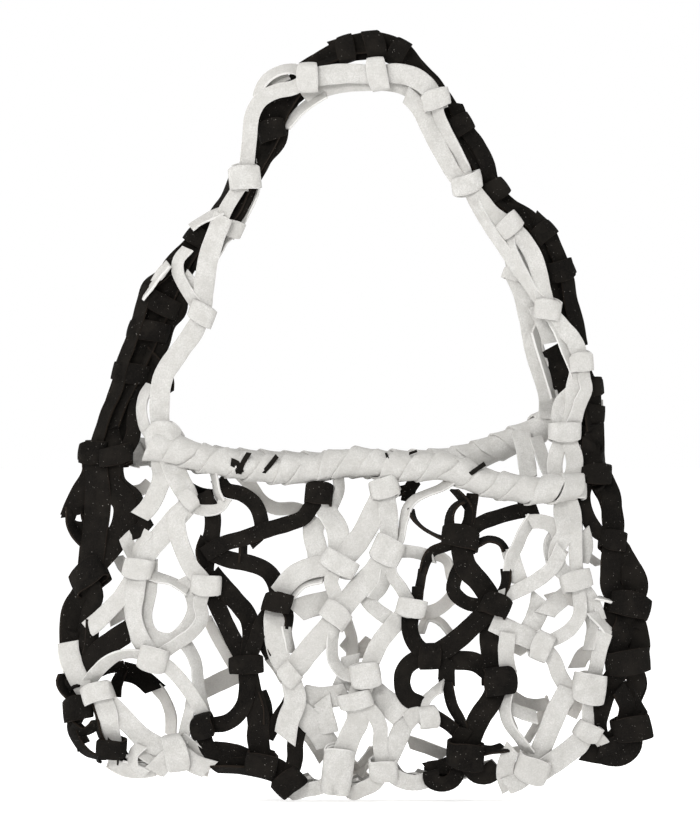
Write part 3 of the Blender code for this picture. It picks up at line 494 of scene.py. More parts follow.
class Cloth:
    """Collects the strips of one piece into a mesh."""

    def __init__(self, name):
        self.name = name
        self.verts, self.faces = [], []
        self.rim, self.tone, self.along = [], [], []
        self.count = 0
        self.length = 0.0

    def ribbon(self, points, normals, half_width, cup, thick=THICK, tone=0.0, lift=0.0,
               slant=(0.0, 0.0), mark=1.0):
        """A strip through points, its face turned to normals.  cup is the half angle (radians)
        that its width is bent through, the edges going inward when it is positive."""
        n = len(points)
        tangent = unit(np.gradient(points, axis=0))
        across = unit(np.cross(tangent, normals))
        normals = unit(np.cross(across, tangent))
        half_width = np.broadcast_to(half_width, (n,)).astype(float)
        cup = np.broadcast_to(cup, (n,)).astype(float)
        lift = np.broadcast_to(lift, (n,)).astype(float)
        safe = np.where(np.abs(cup) < 0.02, 0.02, cup)
        skew = np.zeros(n)
        skew[:3] = slant[0] * np.array([1.0, 0.5, 0.15])[:min(3, n)]
        skew[-3:] = slant[1] * np.array([0.15, 0.5, 1.0])[-min(3, n):]
        rings = []
        for level, row in ((0.5, ACROSS), (-0.5, ACROSS[::-1])):
            for s in row:
                turn = safe * s
                x = np.sin(turn) / safe * half_width
                z = -(1 - np.cos(turn)) / safe * half_width
                z = z + (1 - np.cos(safe)) / safe * half_width * 0.5 + lift
                t = thick * level * (0.72 if abs(s) == 1.0 else 1.0)
                x = x + np.sin(turn) * t
                z = z + np.cos(turn) * t
                rings.append(points + across * x[:, None] + normals * z[:, None]
                             + tangent * (skew * half_width * s)[:, None])
        ring = np.stack(rings, axis=1)
        m = ring.shape[1]
        base = self.count
        self.verts.append(ring.reshape(-1, 3))
        i = np.arange(n - 1)[:, None] * m + base
        k = np.arange(m)[None, :]
        j = (k + 1) % m
        quads = np.stack([i + k, i + m + k, i + m + j, i + j], axis=-1).reshape(-1, 4)
        self.faces.append(quads)
        half = m // 2
        caps = []
        for start, flip in ((base, False), (base + (n - 1) * m, True)):
            for q in range(half - 1):
                face = [start + q, start + q + 1, start + m - 2 - q, start + m - 1 - q]
                caps.append(face[::-1] if flip else face)
        self.faces.append(np.array(caps))
        edge = np.abs(np.concatenate([ACROSS, ACROSS[::-1]]))
        self.rim.append(np.tile(edge * mark, n))
        self.tone.append(np.full(n * m, tone))
        run = np.concatenate([[0], np.cumsum(np.linalg.norm(np.diff(points, axis=0), axis=1))])
        self.along.append(np.repeat(run, m))
        self.count += n * m
        self.length += run[-1]

    def make(self, material):
        data = bpy.data.meshes.new(self.name)
        verts = np.vstack(self.verts)
        low = verts[:, 2] < 0.002
        verts[low, 2] = 0.0003 + 0.0017 * np.exp((verts[low, 2] - 0.002) / 0.0017)
        faces = np.vstack(self.faces)[:, ::-1]  # so that every strip faces outward
        data.vertices.add(len(verts))
        data.vertices.foreach_set("co", verts.astype(np.float32).ravel())
        data.loops.add(faces.size)
        data.loops.foreach_set("vertex_index", faces.astype(np.int32).ravel())
        data.polygons.add(len(faces))
        data.polygons.foreach_set("loop_start", np.arange(0, faces.size, 4, dtype=np.int32))
        data.update(calc_edges=True)
        data.validate()
        for name, values in (("rim", self.rim), ("tone", self.tone), ("along", self.along)):
            layer = data.attributes.new(name, "FLOAT", "POINT")
            layer.data.foreach_set("value", np.concatenate(values).astype(np.float32))
        data.polygons.foreach_set("use_smooth", np.ones(len(faces), dtype=bool))
        data.set_sharp_from_angle(angle=math.radians(50))
        thing = bpy.data.objects.new(self.name, data)
        bpy.context.scene.collection.objects.link(thing)
        data.materials.append(material)
        return thing


LAYERS = {"sl": 0, "sr": 0, "bl": 1, "br": 1}


class Strip:
    """One line of a table, worked out along its length."""

    def __init__(self, line, knots, order):
        words = line.split()
        self.group, self.width = words[0], float(words[1])
        self.off, self.roll, self.cut_end, self.order = 0.0, 0.0, False, order
        self.layer = LAYERS.get(self.group, 2)
        self.knots, stops, self.line = [], [], line
        for word in words[2:]:
            if word[0] == "^":
                self.off = float(word[1:])
            elif word[0] == "~":
                self.roll = float(word[1:])
            elif word == "cut":
                self.cut_end = True
            elif word == "under":
                self.layer = 0.5
            elif word == "over":
                self.layer = 3
            elif word in knots:
                a, d = knots[word][:2]
                depth = knots[word][5]
                stops.append([a, d, depth])
                self.knots.append((a, d, depth))
            else:
                values = [float(v) for v in word.split(",")]
                stops.append([values[0], values[1], values[2] if len(values) > 2 else self.off])
        self.start_knot = words[2 + sum(w[0] in "^~" for w in words[2:4])] in knots
        path = catmull(stops, STEP)
        self.a, self.d, self.z = path[:, 0], path[:, 1], path[:, 2].copy()
        self.rest = self.z.copy()
        self.near = np.zeros(len(self.a))
        for a, d, depth in self.knots:
            away = np.hypot(self.a - a, self.d - d)
            self.near = np.maximum(self.near, np.exp(-(away / 13.0) ** 2))

    def real_width(self):
        return self.width if self.group == "kb" else max(self.width, 14.0)


def settle(strips, knots, apart=1.9, rounds=40, foreign=5.6):
    """Moves strips over and under one another where they cross: later lines lie on top."""
    a = np.concatenate([s.a for s in strips])
    d = np.concatenate([s.d for s in strips])
    who = np.concatenate([np.full(len(s.a), i) for i, s in enumerate(strips)])
    half = np.concatenate([np.full(len(s.a), s.width / 2) for s in strips])
    near = np.concatenate([s.near for s in strips])
    rest = np.concatenate([s.rest for s in strips])
    z = rest.copy()
    left, right, closeness = [], [], []
    for start in range(0, len(a), 400):
        rows = slice(start, start + 400)
        gap = np.hypot(a[rows, None] - a[None], d[rows, None] - d[None])
        reach = (half[rows, None] + half[None]) * 0.92
        hit = (gap < reach) & (who[rows, None] < who[None])
        i, j = np.nonzero(hit)
        left.append(i + start)
        right.append(j)
        closeness.append(1 - gap[i, j] / reach[i, j])
    left, right = np.concatenate(left), np.concatenate(right)
    close = np.concatenate(closeness)
    need_apart = apart * (1 - 0.72 * np.maximum(near[left], near[right])) * np.minimum(1, close * 3)
    under = []
    for name, (ka, kd, wide, tall, turned, depth, thick, *_) in knots.items():
        own = {i for i, s in enumerate(strips) if name in s.line.split()}
        gap = np.hypot(a - ka, d - kd)
        inside = (gap < max(wide, tall) / 2 + half * 0.7) & ~np.isin(who, list(own))
        rows = np.nonzero(inside)[0]
        weight = np.clip(1.6 - gap[rows] / (max(wide, tall) / 2), 0, 1)
        under.append((rows, depth - (foreign + 0.6) * weight))
    for turn in range(rounds):
        push = need_apart - (z[right] - z[left])
        push = np.where(push > 0, push, 0) * 0.5
        up, down = np.zeros_like(z), np.zeros_like(z)
        np.maximum.at(up, right, push)
        np.maximum.at(down, left, push)
        z = z + 0.6 * (up - down) + 0.04 * (rest - z)
        for rows, limit in under:
            z[rows] = np.minimum(z[rows], z[rows] * 0.5 + limit * 0.5)
        start = 0
        for s in strips:
            stop = start + len(s.a)
            part = z[start:stop]
            soft = part.copy()
            soft[1:-1] = 0.25 * part[:-2] + 0.5 * part[1:-1] + 0.25 * part[2:]
            z[start:stop] = soft
            start = stop
    start = 0
    for s in strips:
        stop = start + len(s.a)
        s.z = np.clip(z[start:stop], -12.0, 24.0)
        start = stop


def lay_strip(cloth, s, place, normal, side, rng, widen=1.0):
    """Turns a settled strip into a ribbon."""
    count = len(s.a)
    real = s.real_width() * widen
    shown = min(s.width * widen, real)
    roll = math.radians(s.roll) if s.roll else 0.0
    if shown < real - 0.5:
        lean = math.acos(max(0.2, (shown - 1.0) / real))
        roll = lean if (s.roll > 0 or (s.roll == 0 and rng.random() < 0.5)) else -lean
    ends = np.ones(count)
    span = np.arange(count) * STEP
    run = span[-1]
    if s.knots:
        ends = 1 - 0.85 * s.near
    points = place(s.a, s.d, s.z, side)
    normals = normal(s.a, s.d, side)
    tangent = unit(np.gradient(points, axis=0))
    sideways = unit(np.cross(tangent, normals))
    normals = unit(np.cross(sideways, tangent))
    angle = (roll + 0.16 * wander(rng, count, 40)) * ends
    normals = normals * np.cos(angle)[:, None] + sideways * np.sin(angle)[:, None]
    cup = 0.10 + 0.16 * wander(rng, count, 34) + 0.86 * s.near ** 1.3
    half = 0.5 * real * UNIT * (1 + 0.035 * wander(rng, count, 11)) * (1 - 0.10 * s.near)
    if side > 0 and place is net_place:
        sideways = -sideways
    cloth.ribbon(points, normals, half, cup, tone=rng.uniform(-1, 1),
                 slant=tuple(rng.uniform(-0.6, 0.6, 2)))


def lay_knot(cloth, spec, place, normal, side, rng, scale=1.0, turns=1.18):
    """A strip wound once round the strips that it ties."""
    a, d, wide, tall, turned, depth, thick = spec[:7]
    bow = spec[7] if len(spec) > 7 else rng.uniform(-1.3, 1.3)
    centre = place(np.array([a]), np.array([d]), np.array([depth]), side)[0]
    out = normal(np.array([a], float), np.array([d], float), side)[0]
    level = unit(np.array([1.0, 0, 0]) - out * out[0])
    up = np.cross(out, level) if out[1] < 0 else np.cross(level, out)
    if up[2] < 0:
        up = -up
    angle = math.radians(turned + rng.uniform(-3, 3))
    across = level * math.cos(angle) - up * math.sin(angle)
    top = level * math.sin(angle) + up * math.cos(angle)
    half_a = (wide / 2) * UNIT * scale - THICK * 0.4
    half_b = 0.001 * thick * scale
    shear = rng.uniform(-0.16, 0.16)
    slack = rng.uniform(-0.5, 0.5)
    steps = 46
    turn = np.linspace(0, math.tau * turns, steps)
    start = -math.pi / 2 - math.pi * (turns - 1) + slack
    theta = start + turn
    grow = 1 + 0.0018 * (turn / math.tau) / half_a
    power = 2 / 3.0
    cosine, sine = np.cos(theta), np.sin(theta)
    x = np.sign(cosine) * np.abs(cosine) ** power * half_a * grow
    y = np.sign(sine) * np.abs(sine) ** power * (half_b + THICK * turn / math.tau)
    y = y + 0.0006 * np.cos(2 * theta) * (sine > 0)
    drift = (turn / math.tau - turns / 2) * rng.uniform(-0.0022, 0.0022) + shear * x
    drift = drift + 0.001 * bow * (1 - (x / half_a) ** 2)
    points = centre + across * x[:, None] + out * y[:, None] + top * drift[:, None]
    middle = centre + top * drift[:, None]
    normals = unit(points - middle)
    tangent = unit(np.gradient(points, axis=0))
    normals = unit(normals - tangent * np.sum(normals * tangent, axis=1, keepdims=True))
    width = 0.5 * tall * UNIT * scale * (1 + 0.05 * wander(rng, steps, 30))
    width = width * (1.04 - 0.12 * np.abs(x / half_a) ** 3)
    cup = 0.10 + 0.12 * wander(rng, steps, 50)
    # the face must stay outward whichever way the band runs
    cloth.ribbon(points, normals, width, cup, tone=rng.uniform(-1, 1))


# ------------------------------------------------------------------ surfaces
def suede(name, colour, mottle_and_sheen, edge, nap, dust, blotch_and_sheen=(140, 0.36, 0.70, 0.8)):
    made = bpy.data.materials.new(name)
    made.use_nodes = True
    nodes, links = made.node_tree.nodes, made.node_tree.links
    shader = nodes["Principled BSDF"]
    shader.inputs["Roughness"].default_value = 0.92
    shader.inputs["Specular IOR Level"].default_value = 0.10
    shader.inputs["Sheen Weight"].default_value = nap
    shader.inputs["Sheen Roughness"].default_value = 0.55
    place = nodes.new("ShaderNodeTexCoord")

    def noise(scale, detail, rough=0.55):
        node = nodes.new("ShaderNodeTexNoise")
        node.inputs["Scale"].default_value = scale
        node.inputs["Detail"].default_value = detail
        node.inputs["Roughness"].default_value = rough
        links.new(place.outputs["Object"], node.inputs["Vector"])
        return node.outputs["Fac"]

    def ramp(fac, low, high, a=0.0, b=1.0):
        node = nodes.new("ShaderNodeMapRange")
        node.inputs["From Min"].default_value = low
        node.inputs["From Max"].default_value = high
        node.inputs["To Min"].default_value = a
        node.inputs["To Max"].default_value = b
        links.new(fac, node.inputs["Value"])
        return node.outputs["Result"]

    def mix(fac, one, two):
        node = nodes.new("ShaderNodeMix")
        node.data_type = "RGBA"
        links.new(fac, node.inputs["Factor"])
        for value, socket in ((one, node.inputs["A"]), (two, node.inputs["B"])):
            if isinstance(value, tuple):
                socket.default_value = (*value, 1)
            else:
                links.new(value, socket)
        return node.outputs["Result"]

    # broad patches: on the white suede its own mottling; on the black suede lighter patches, partly its own mottling
    # and partly painted sheen of the nap
    patches_and_sheen = ramp(noise(blotch_and_sheen[0], 4, 0.6), blotch_and_sheen[1], blotch_and_sheen[2], 0.0, blotch_and_sheen[3])
    body = mix(patches_and_sheen, colour, tuple(c * k for c, k in zip(colour, mottle_and_sheen)))
    grain = ramp(noise(1150, 3, 0.75), 0.34, 0.68, 0.0, 0.85)
    body = mix(grain, body, tuple(c * k * 0.86 for c, k in zip(colour, mottle_and_sheen)))
    tone = nodes.new("ShaderNodeAttribute")
    tone.attribute_name = "tone"
    body = mix(ramp(tone.outputs["Fac"], -1, 1, 0.0, 0.35), body,
               tuple(c * k for c, k in zip(colour, mottle_and_sheen)))
    side = nodes.new("ShaderNodeAttribute")
    side.attribute_name = "rim"
    body = mix(ramp(side.outputs["Fac"], 0.955, 0.985), body, edge)
    if dust:
        specks = ramp(noise(1350, 1, 0.4), 0.755, 0.80, 0.0, 0.8)
        body = mix(specks, body, (0.34, 0.32, 0.29))
    links.new(body, shader.inputs["Base Color"])
    height = nodes.new("ShaderNodeMath")
    height.operation = "ADD"
    links.new(ramp(noise(2200, 4, 0.7), 0.3, 0.7, 0.0, 0.5), height.inputs[0])
    links.new(ramp(noise(260, 2), 0.3, 0.7, 0.0, 1.0), height.inputs[1])
    bump = nodes.new("ShaderNodeBump")
    bump.inputs["Strength"].default_value = 0.6
    bump.inputs["Distance"].default_value = 0.0004
    links.new(height.outputs[0], bump.inputs["Height"])
    links.new(bump.outputs["Normal"], shader.inputs["Normal"])
    return made


WHITE = suede("white_suede", (0.585, 0.577, 0.557), (0.74, 0.730, 0.715), (0.60, 0.59, 0.570), 0.0, False)
# The back net's white strips: the same white suede painted lighter, as painted light that offsets the shade they lie in
# behind the front net.
BACK_WHITE_PAINTED_LIGHT = suede("white_suede_back_painted_light", (0.80, 0.780, 0.745), (0.93, 0.92, 0.91), (0.82, 0.80, 0.765), 0.0, False)
# black suede: its broad lighter patches are partly its own mottling and partly painted sheen of the nap, with the sheen
# shader itself off
BLACK = suede("black_suede", (0.0013, 0.0011, 0.0009), (7.5, 7.4, 7.2), (0.015, 0.011, 0.008), 0.0, True,
              blotch_and_sheen=(80, 0.46, 0.64, 1.0))

# ------------------------------------------------------------------ camera first
far = CAMERA_AWAY
aim_x = (CAMERA_ROW[0] - CENTRE_ACROSS) * UNIT
aim_z = (FLOOR_DOWN - CAMERA_ROW[1]) * UNIT
FRONT_PLANE = -0.036
data = bpy.data.cameras.new("camera")
data.lens = 36.0 * far / VIEW_TALL
data.clip_end = 100.0
camera = bpy.data.objects.new("camera", data)
camera.location = (aim_x, FRONT_PLANE - far, aim_z)
camera.rotation_euler = (math.pi / 2, 0, 0)
bpy.context.scene.collection.objects.link(camera)
bpy.context.scene.camera = camera

# ------------------------------------------------------------------ pieces
cloths = {}


def cloth(name):
    if name not in cloths:
        cloths[name] = Cloth(name)
    return cloths[name]


def read_strips(text, knots):
    lines = [line.strip() for line in text.strip().splitlines() if line.strip()]
    made = [Strip(line, knots, i) for i, line in enumerate(lines)]
    return sorted(made, key=lambda strip: strip.layer)


COLUMN = {"wl": "front_white_left", "bl": "front_black_left", "wm": "front_white_mid",
          "br": "front_black_right", "wr": "front_white_right", "sl": "side_left",
          "sr": "side_right"}
BACK_COLUMN = {"wl": "back_white_left", "bl": "back_black_left", "wm": "back_white_mid",
               "br": "back_black_right", "wr": "back_white_right", "sl": "side_left",
               "sr": "side_right"}
KNOT_COLUMN = {"A": "wl", "B": "bl", "M": "wm", "C": "br", "R": "wr", "L": "sl", "S": "sr"}

front = read_strips(FRONT, KNOTS)
settle(front, KNOTS)
for index, strip in enumerate(front):
    rng = np.random.default_rng(100 + index)
    lay_strip(cloth("suede_" + COLUMN[strip.group]), strip, net_place, net_normal, -1, rng)
for index, (name, spec) in enumerate(KNOTS.items()):
    rng = np.random.default_rng(900 + index)
    lay_knot(cloth("suede_" + COLUMN[KNOT_COLUMN[name[0]]]), spec, net_place, net_normal, -1, rng)

# the back: seen strips, then the main ones again, drawn out a little so that the front hides them
grow = (far + 2 * 0.038) / far


def outward(a, d):
    return CAMERA_ROW[0] + (a - CAMERA_ROW[0]) * grow, np.minimum(
        CAMERA_ROW[1] + (d - CAMERA_ROW[1]) * (1 + (grow - 1) * 0.6), 799.0)


seen = read_strips(BACK_SEEN, {})
copied = [s for s in read_strips(FRONT, KNOTS)
          if s.width >= BACK_SKIP and s.off >= -1 and not (s.group in "wl" and s.cut_end)]
back = copied[::-1] + seen
for strip in back:
    strip.a, strip.d = outward(strip.a, strip.d)
    strip.z = strip.z * 0
    strip.rest = strip.z.copy()
settle(back, {})
for index, strip in enumerate(back):
    rng = np.random.default_rng(2000 + index)
    lay_strip(cloth("suede_" + BACK_COLUMN[strip.group]), strip, net_place, net_normal, 1, rng,
              0.94)
for index, (name, spec) in enumerate(KNOTS.items()):
    rng = np.random.default_rng(2900 + index)
    a, d = outward(spec[0], spec[1])
    lay_knot(cloth("suede_" + BACK_COLUMN[KNOT_COLUMN[name[0]]]), (a, float(d), *spec[2:5], 0.0, spec[6]),
             net_place, net_normal, 1, rng, 0.88)

# the handle
every = dict(KNOTS)
handle_knots = dict(HANDLE_KNOTS)
for name in ("A1", "R1", "L1", "L2", "S1"):
    a, d, wide, tall, turned, depth, thick = KNOTS[name][:7]
    handle_knots[name] = (a, d, wide, tall, turned, 1000 * float(half_depth(a, d)), thick)
handle = read_strips(HANDLE, handle_knots)
settle(handle, {}, apart=1.7)
for index, strip in enumerate(handle):
    rng = np.random.default_rng(4000 + index)
    name = {"hb": "suede_handle_black", "hw": "suede_handle_white", "hi": "suede_handle_inner"}
    lay_strip(cloth(name[strip.group]), strip, flat_place, flat_normal, -1, rng)
for index, (name, spec) in enumerate(HANDLE_KNOTS.items()):
    rng = np.random.default_rng(4900 + index)
    target = "suede_handle_inner" if name in ("H8", "H9") else "suede_handle_white"
    lay_knot(cloth(target), spec, flat_place, flat_normal, -1, rng)
for index, spec in enumerate(HANDLE_WRAPS):
    rng = np.random.default_rng(5900 + index)
    lay_knot(cloth("suede_handle_black"), spec, flat_place, flat_normal, -1, rng)

for index, strip in enumerate(read_strips(RIM_BITS, {})):
    lay_strip(cloth("suede_front_black_left"), strip, flat_place, flat_normal, -1,
              np.random.default_rng(4700 + index))

# ------------------------------------------------------------------ rims
RIM_ROUTES = {
    "front": [(150, 446), (166, 448), (184, 452), (205, 458), (228, 463), (255, 467), (285, 469), (315, 468), (342, 462),
              (365, 461), (395, 466), (425, 466), (445, 466), (462, 472), (480, 480), (500, 485), (520, 488),
              (541, 490), (558, 488), (574, 486)],
    "back": [(110, 452), (128, 451), (150, 451), (172, 452), (200, 458), (255, 463), (315, 465), (365, 463), (425, 463),
             (462, 458), (490, 449), (515, 439), (535, 430), (549, 420), (568, 414), (590, 412)],
}
for name, side in (("front", -1), ("back", 1)):
    rng = np.random.default_rng(77 if side < 0 else 78)
    target = cloth("suede_rim_" + name)
    route = catmull([(a, d, 0) for a, d in RIM_ROUTES[name]], 1.0)
    a, d = route[:, 0], route[:, 1]
    if side > 0:
        a, d = outward(a, d)
    deep = np.interp(a, [110, 128, 160, 200, 500, 550, 572, 590],
                     [0.006, 0.017, 0.024, 0.026, 0.026, 0.024, 0.014, 0.004])
    if side < 0:
        deep = np.interp(a, [150, 175, 200, 530, 556, 574], [0.021, 0.025, 0.026, 0.028, 0.027, 0.022])
    axis = np.stack([(a - CENTRE_ACROSS) * UNIT, side * deep,
                     (FLOOR_DOWN - d) * UNIT], axis=1)
    run = np.concatenate([[0], np.cumsum(np.linalg.norm(np.diff(axis, axis=0), axis=1))])
    forward = unit(np.gradient(axis, axis=0))
    out = np.tile(np.array([0.0, side, 0.0]), (len(axis), 1))
    upward = unit(np.cross(out, forward)) * (1 if side < 0 else -1)
    out = unit(np.cross(forward, upward)) * (1 if side < 0 else -1)
    # inside: three strips laid along the rim
    for k in range(3):
        phase = math.tau * k / 3 + run / 0.05
        points = axis + 0.0034 * (np.cos(phase)[:, None] * out + np.sin(phase)[:, None] * upward)
        normals = np.cos(phase)[:, None] * out + np.sin(phase)[:, None] * upward
        pick = slice(None, None, 4)
        target.ribbon(points[pick], normals[pick], 0.0052, 0.6, tone=0.0)
    # outside: two strips wound round them in turn
    pitch = 0.0262
    for start in range(2):
        turns = (run[-1] - 0.004) / pitch
        steps = int(turns * 34)
        t = np.linspace(0, turns, steps)
        where = 0.002 + t * pitch + start * pitch / 2
        where = np.clip(where + 0.0022 * np.interp(t * 5, np.arange(int(turns * 5) + 2),
                                                   rng.uniform(-1, 1, int(turns * 5) + 2)),
                        0, run[-1])
        base = np.stack([np.interp(where, run, axis[:, k]) for k in range(3)], axis=1)
        o = np.stack([np.interp(where, run, out[:, k]) for k in range(3)], axis=1)
        u = np.stack([np.interp(where, run, upward[:, k]) for k in range(3)], axis=1)
        f = np.stack([np.interp(where, run, forward[:, k]) for k in range(3)], axis=1)
        theta = math.tau * t - math.pi / 2 + start * 0.3
        radius = 0.0073 + 0.0003 * np.interp(t * 3, np.arange(int(turns * 3) + 2),
                                             rng.uniform(-1, 1, int(turns * 3) + 2))
        radial = np.cos(theta)[:, None] * o + np.sin(theta)[:, None] * u
        points = base + radial * radius[:, None]
        normals = unit(radial + f * 0.11)
        wide = 0.0074 * (1 + 0.12 * np.interp(t * 2, np.arange(int(turns * 2) + 2),
                                              rng.uniform(-1, 1, int(turns * 2) + 2)))
        target.ribbon(points, normals, wide, 0.05, tone=rng.uniform(-1, 1), mark=0.9)

# ------------------------------------------------------------------ base
BASE_LINE = [(100, 756), (130, 765), (180, 767), (230, 768), (275, 783), (300, 791), (325, 791),
             (345, 795), (365, 790), (390, 780), (410, 787), (440, 787), (455, 783), (475, 776),
             (500, 778), (520, 778), (560, 765), (610, 750)]
# colour, where it leaves the front, where it reaches the back, width
BASE_STRIPS = [
    ("white", 134, 140, 18), ("white", 184, 178, 20), ("white", 330, 334, 18), ("white", 350, 348, 18),
    ("white", 388, 392, 18), ("white", 512, 520, 20), ("white", 552, 548, 18), ("white", 412, 408, 14),
    ("black", 230, 234, 18), ("black", 272, 268, 20), ("black", 440, 444, 20), ("black", 472, 470, 18),
    ("white", 138, 176, 13), ("white", 186, 144, 13), ("white", 190, 214, 13), ("white", 216, 186, 13),
    ("black", 234, 264, 13), ("black", 270, 238, 13), ("white", 304, 336, 13), ("white", 334, 302, 13),
    ("white", 352, 384, 13), ("white", 388, 352, 13), ("white", 392, 424, 13), ("white", 420, 392, 13),
    ("black", 444, 468, 13), ("black", 472, 442, 13), ("white", 484, 514, 13), ("white", 514, 488, 13),
    ("white", 520, 548, 13), ("white", 552, 524, 13),
]
BASE_RUNS = [
    ("white", 122, 576, -15.5), ("white", 126, 572, 15.5),
    ("black", 214, 272, 0.0), ("black", 430, 488, 0.0),
]
for index, (colour, start, end, depth) in enumerate(BASE_RUNS):
    rng = np.random.default_rng(6000 + index)
    a = np.arange(start, end, STEP)
    d = np.interp(a, [c for c, r in BASE_LINE], [r for c, r in BASE_LINE])
    z = (FLOOR_DOWN - d) * UNIT + THICK / 2 + (0.0 if colour == "white" else 0.0022)
    y = 0.001 * depth + 0.0012 * wander(rng, len(a), 60)
    points = np.stack([(a - CENTRE_ACROSS) * UNIT, y, z], axis=1)
    normals = np.tile([0.0, 0.0, -1.0], (len(a), 1))
    cloth("suede_base_" + colour).ribbon(points, normals, 0.006, 0.04, tone=rng.uniform(-1, 1))
for index, (colour, front_a, back_a, width) in enumerate(BASE_STRIPS):
    rng = np.random.default_rng(6100 + index)
    t = np.linspace(-1, 1, 26)
    a = (front_a + back_a) / 2 + (back_a - front_a) / 2 * t
    low = np.interp(a, [c for c, r in BASE_LINE], [r for c, r in BASE_LINE])
    reach = np.interp(low, [765, 790], [0.022, 0.026])
    rise = 0.003 * np.clip((np.abs(t) - 0.55) / 0.45, 0, None) ** 1.6
    layer = 0.0021 if width > 13 else 0.0040
    z = (FLOOR_DOWN - low) * UNIT + THICK / 2 + layer + rise
    points = np.stack([(a - CENTRE_ACROSS) * UNIT, reach * t, z], axis=1)
    normals = unit(np.stack([0 * t, 1.1 * t * np.clip((np.abs(t) - 0.4) / 0.6, 0, 1), -1 + 0 * t], axis=1))
    cloth("suede_base_" + colour).ribbon(points, normals, 0.5 * width * UNIT, 0.1,
                                         tone=rng.uniform(-1, 1))

# ------------------------------------------------------------------ sides: strips from front to back
SIDE_RUNGS = [
    # side, front across, front down, back across, back down, swell (mm)
    ("left", 98, 446, 100, 470, 4), ("left", 94, 470, 86, 516, 5), ("left", 76, 520, 92, 566, 2),
    ("left", 88, 584, 84, 536, 2), ("left", 90, 590, 70, 640, 3), ("left", 70, 630, 76, 690, 2),
    ("left", 72, 690, 70, 640, 2), ("left", 76, 712, 82, 740, 3), ("left", 82, 746, 80, 706, 3),
    ("left", 100, 755, 98, 750, 2),
    ("right", 600, 452, 602, 480, 2), ("right", 602, 484, 614, 524, 2),
    ("right", 614, 520, 622, 566, 1), ("right", 624, 566, 612, 530, 1),
    ("right", 634, 596, 642, 640, 3), ("right", 640, 630, 634, 586, 3),
    ("right", 642, 652, 634, 700, 2), ("right", 632, 690, 640, 660, 2),
    ("right", 640, 716, 632, 742, 2), ("right", 622, 748, 626, 720, 2),
]
for index, (which, fa, fd, ba, bd, swell) in enumerate(SIDE_RUNGS):
    rng = np.random.default_rng(7000 + index)
    outward_x = -1.0 if which == "left" else 1.0
    first = net_place(np.array([fa]), np.array([fd]), np.array([-1.0]), -1)[0]
    last = net_place(np.array([ba]), np.array([bd]), np.array([-1.0]), 1)[0]
    t = np.linspace(0, 1, 22)
    bulge = np.sin(math.pi * t)
    points = first + (last - first) * t[:, None]
    points[:, 0] += outward_x * 0.001 * swell * bulge
    normals = unit(np.stack([outward_x * (0.5 + bulge), 1.2 * (2 * t - 1), 0 * t], axis=1))
    cup = 0.15 + 0.7 * (1 - bulge) ** 2
    cloth("suede_side_" + which).ribbon(points, normals, 0.0056, cup, tone=rng.uniform(-1, 1))

# ------------------------------------------------------------------ objects
STANDS_FOR = {
    "suede_front_white_left": ("front_white_left",), "suede_front_black_left": ("front_black_left",),
    "suede_front_white_mid": ("front_white_mid",), "suede_front_black_right": ("front_black_right",),
    "suede_front_white_right": ("front_white_right",), "suede_side_left": ("side_black_left",),
    "suede_side_right": ("side_black_right",), "suede_back_white_left": ("back_white_left",),
    "suede_back_black_left": ("back_black_left",), "suede_back_white_mid": ("back_white_mid",),
    "suede_back_black_right": ("back_black_right",), "suede_back_white_right": ("back_white_right",),
    "suede_rim_front": ("rim_front",), "suede_rim_back": ("rim_back",),
    "suede_handle_white": ("handle_white",), "suede_handle_inner": ("handle_white_inner",),
    "suede_handle_black": ("handle_black",), "suede_base_white": ("base_white",),
    "suede_base_black": ("base_black_left", "base_black_right"),
}
for name, nodes in STANDS_FOR.items():
    made = cloths[name]
    black = "black" in name or "_side_" in name
    # the back net's white strips take the copy of white suede that is painted lighter against their shade
    inside = "_back_white" in name
    thing = made.make(BLACK if black else BACK_WHITE_PAINTED_LIGHT if inside else WHITE)
    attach(thing, "root")
    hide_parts(*nodes)
    print(name, "%.2f m of strip" % made.length, len(thing.data.polygons) * 2, "triangles")
print("strip in all %.1f m" % sum(c.length for c in cloths.values()))

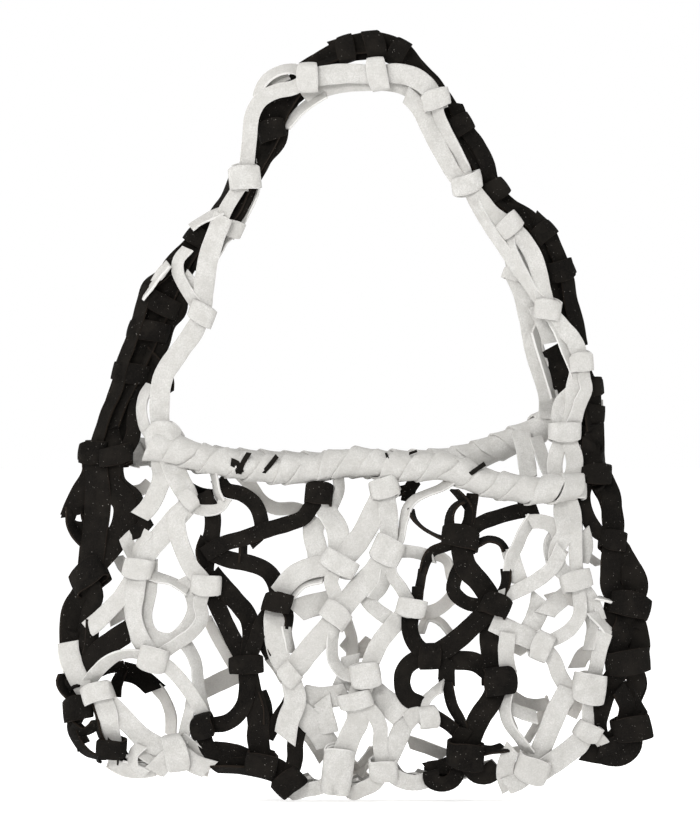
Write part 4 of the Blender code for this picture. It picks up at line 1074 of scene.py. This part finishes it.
# ------------------------------------------------------------------ floor and light
scene = bpy.context.scene
floor_data = bpy.data.meshes.new("floor")
floor_data.from_pydata([(-40, -40, 0), (40, -40, 0), (40, 40, 0), (-40, 40, 0)], [], [(0, 1, 2, 3)])
floor = bpy.data.objects.new("floor", floor_data)
floor.location = (0, 0, -0.0002)
scene.collection.objects.link(floor)
paper = bpy.data.materials.new("pale_floor")
paper.use_nodes = True
paper.node_tree.nodes["Principled BSDF"].inputs["Base Color"].default_value = (0.93, 0.93, 0.93, 1)
paper.node_tree.nodes["Principled BSDF"].inputs["Roughness"].default_value = 0.9
paper.node_tree.nodes["Principled BSDF"].inputs["Specular IOR Level"].default_value = 0.1
paper.node_tree.nodes["Principled BSDF"].inputs["Emission Color"].default_value = (1, 1, 1, 1)
paper.node_tree.nodes["Principled BSDF"].inputs["Emission Strength"].default_value = 0.6
floor_data.materials.append(paper)
floor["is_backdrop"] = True

world = bpy.data.worlds.new("studio")
world.use_nodes = True
backdrop = world.node_tree.nodes["Background"]
backdrop.inputs["Color"].default_value = (1, 1, 1, 1)
# the room lights the bag as a softer grey than the white background that is seen straight behind it
seen_directly = world.node_tree.nodes.new("ShaderNodeLightPath")
level = world.node_tree.nodes.new("ShaderNodeMapRange")
level.inputs["To Min"].default_value = 0.55
level.inputs["To Max"].default_value = 1.0
world.node_tree.links.new(seen_directly.outputs["Is Camera Ray"], level.inputs["Value"])
world.node_tree.links.new(level.outputs["Result"], backdrop.inputs["Strength"])
scene.world = world


def area_light(name, place, aim, size, power):
    lamp = bpy.data.lights.new(name, "AREA")
    lamp.shape = "RECTANGLE"
    lamp.size, lamp.size_y = size
    lamp.energy = power
    thing = bpy.data.objects.new(name, lamp)
    thing.location = place
    direction = np.array(aim) - np.array(place)
    from mathutils import Vector
    thing.rotation_mode = "QUATERNION"
    thing.rotation_quaternion = Vector(direction).to_track_quat("-Z", "Y")
    scene.collection.objects.link(thing)


area_light("key", (-0.9, -3.0, 1.3), (0, -0.03, 0.2), (0.9, 0.7), 54)
area_light("top", (-1.3, -0.9, 2.2), (0, 0, 0.2), (0.7, 0.5), 24)
area_light("right", (3.0, -0.6, 1.0), (0, 0, 0.2), (1.0, 1.0), 18)
area_light("left", (-3.0, 0.8, 1.0), (0, 0, 0.2), (1.0, 1.0), 18)
area_light("back", (0.9, 3.0, 1.5), (0, 0, 0.2), (1.0, 0.8), 20)

scene.view_settings.view_transform = "Standard"
scene.view_settings.look = "None"
scene.view_settings.exposure = 0.0

low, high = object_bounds()
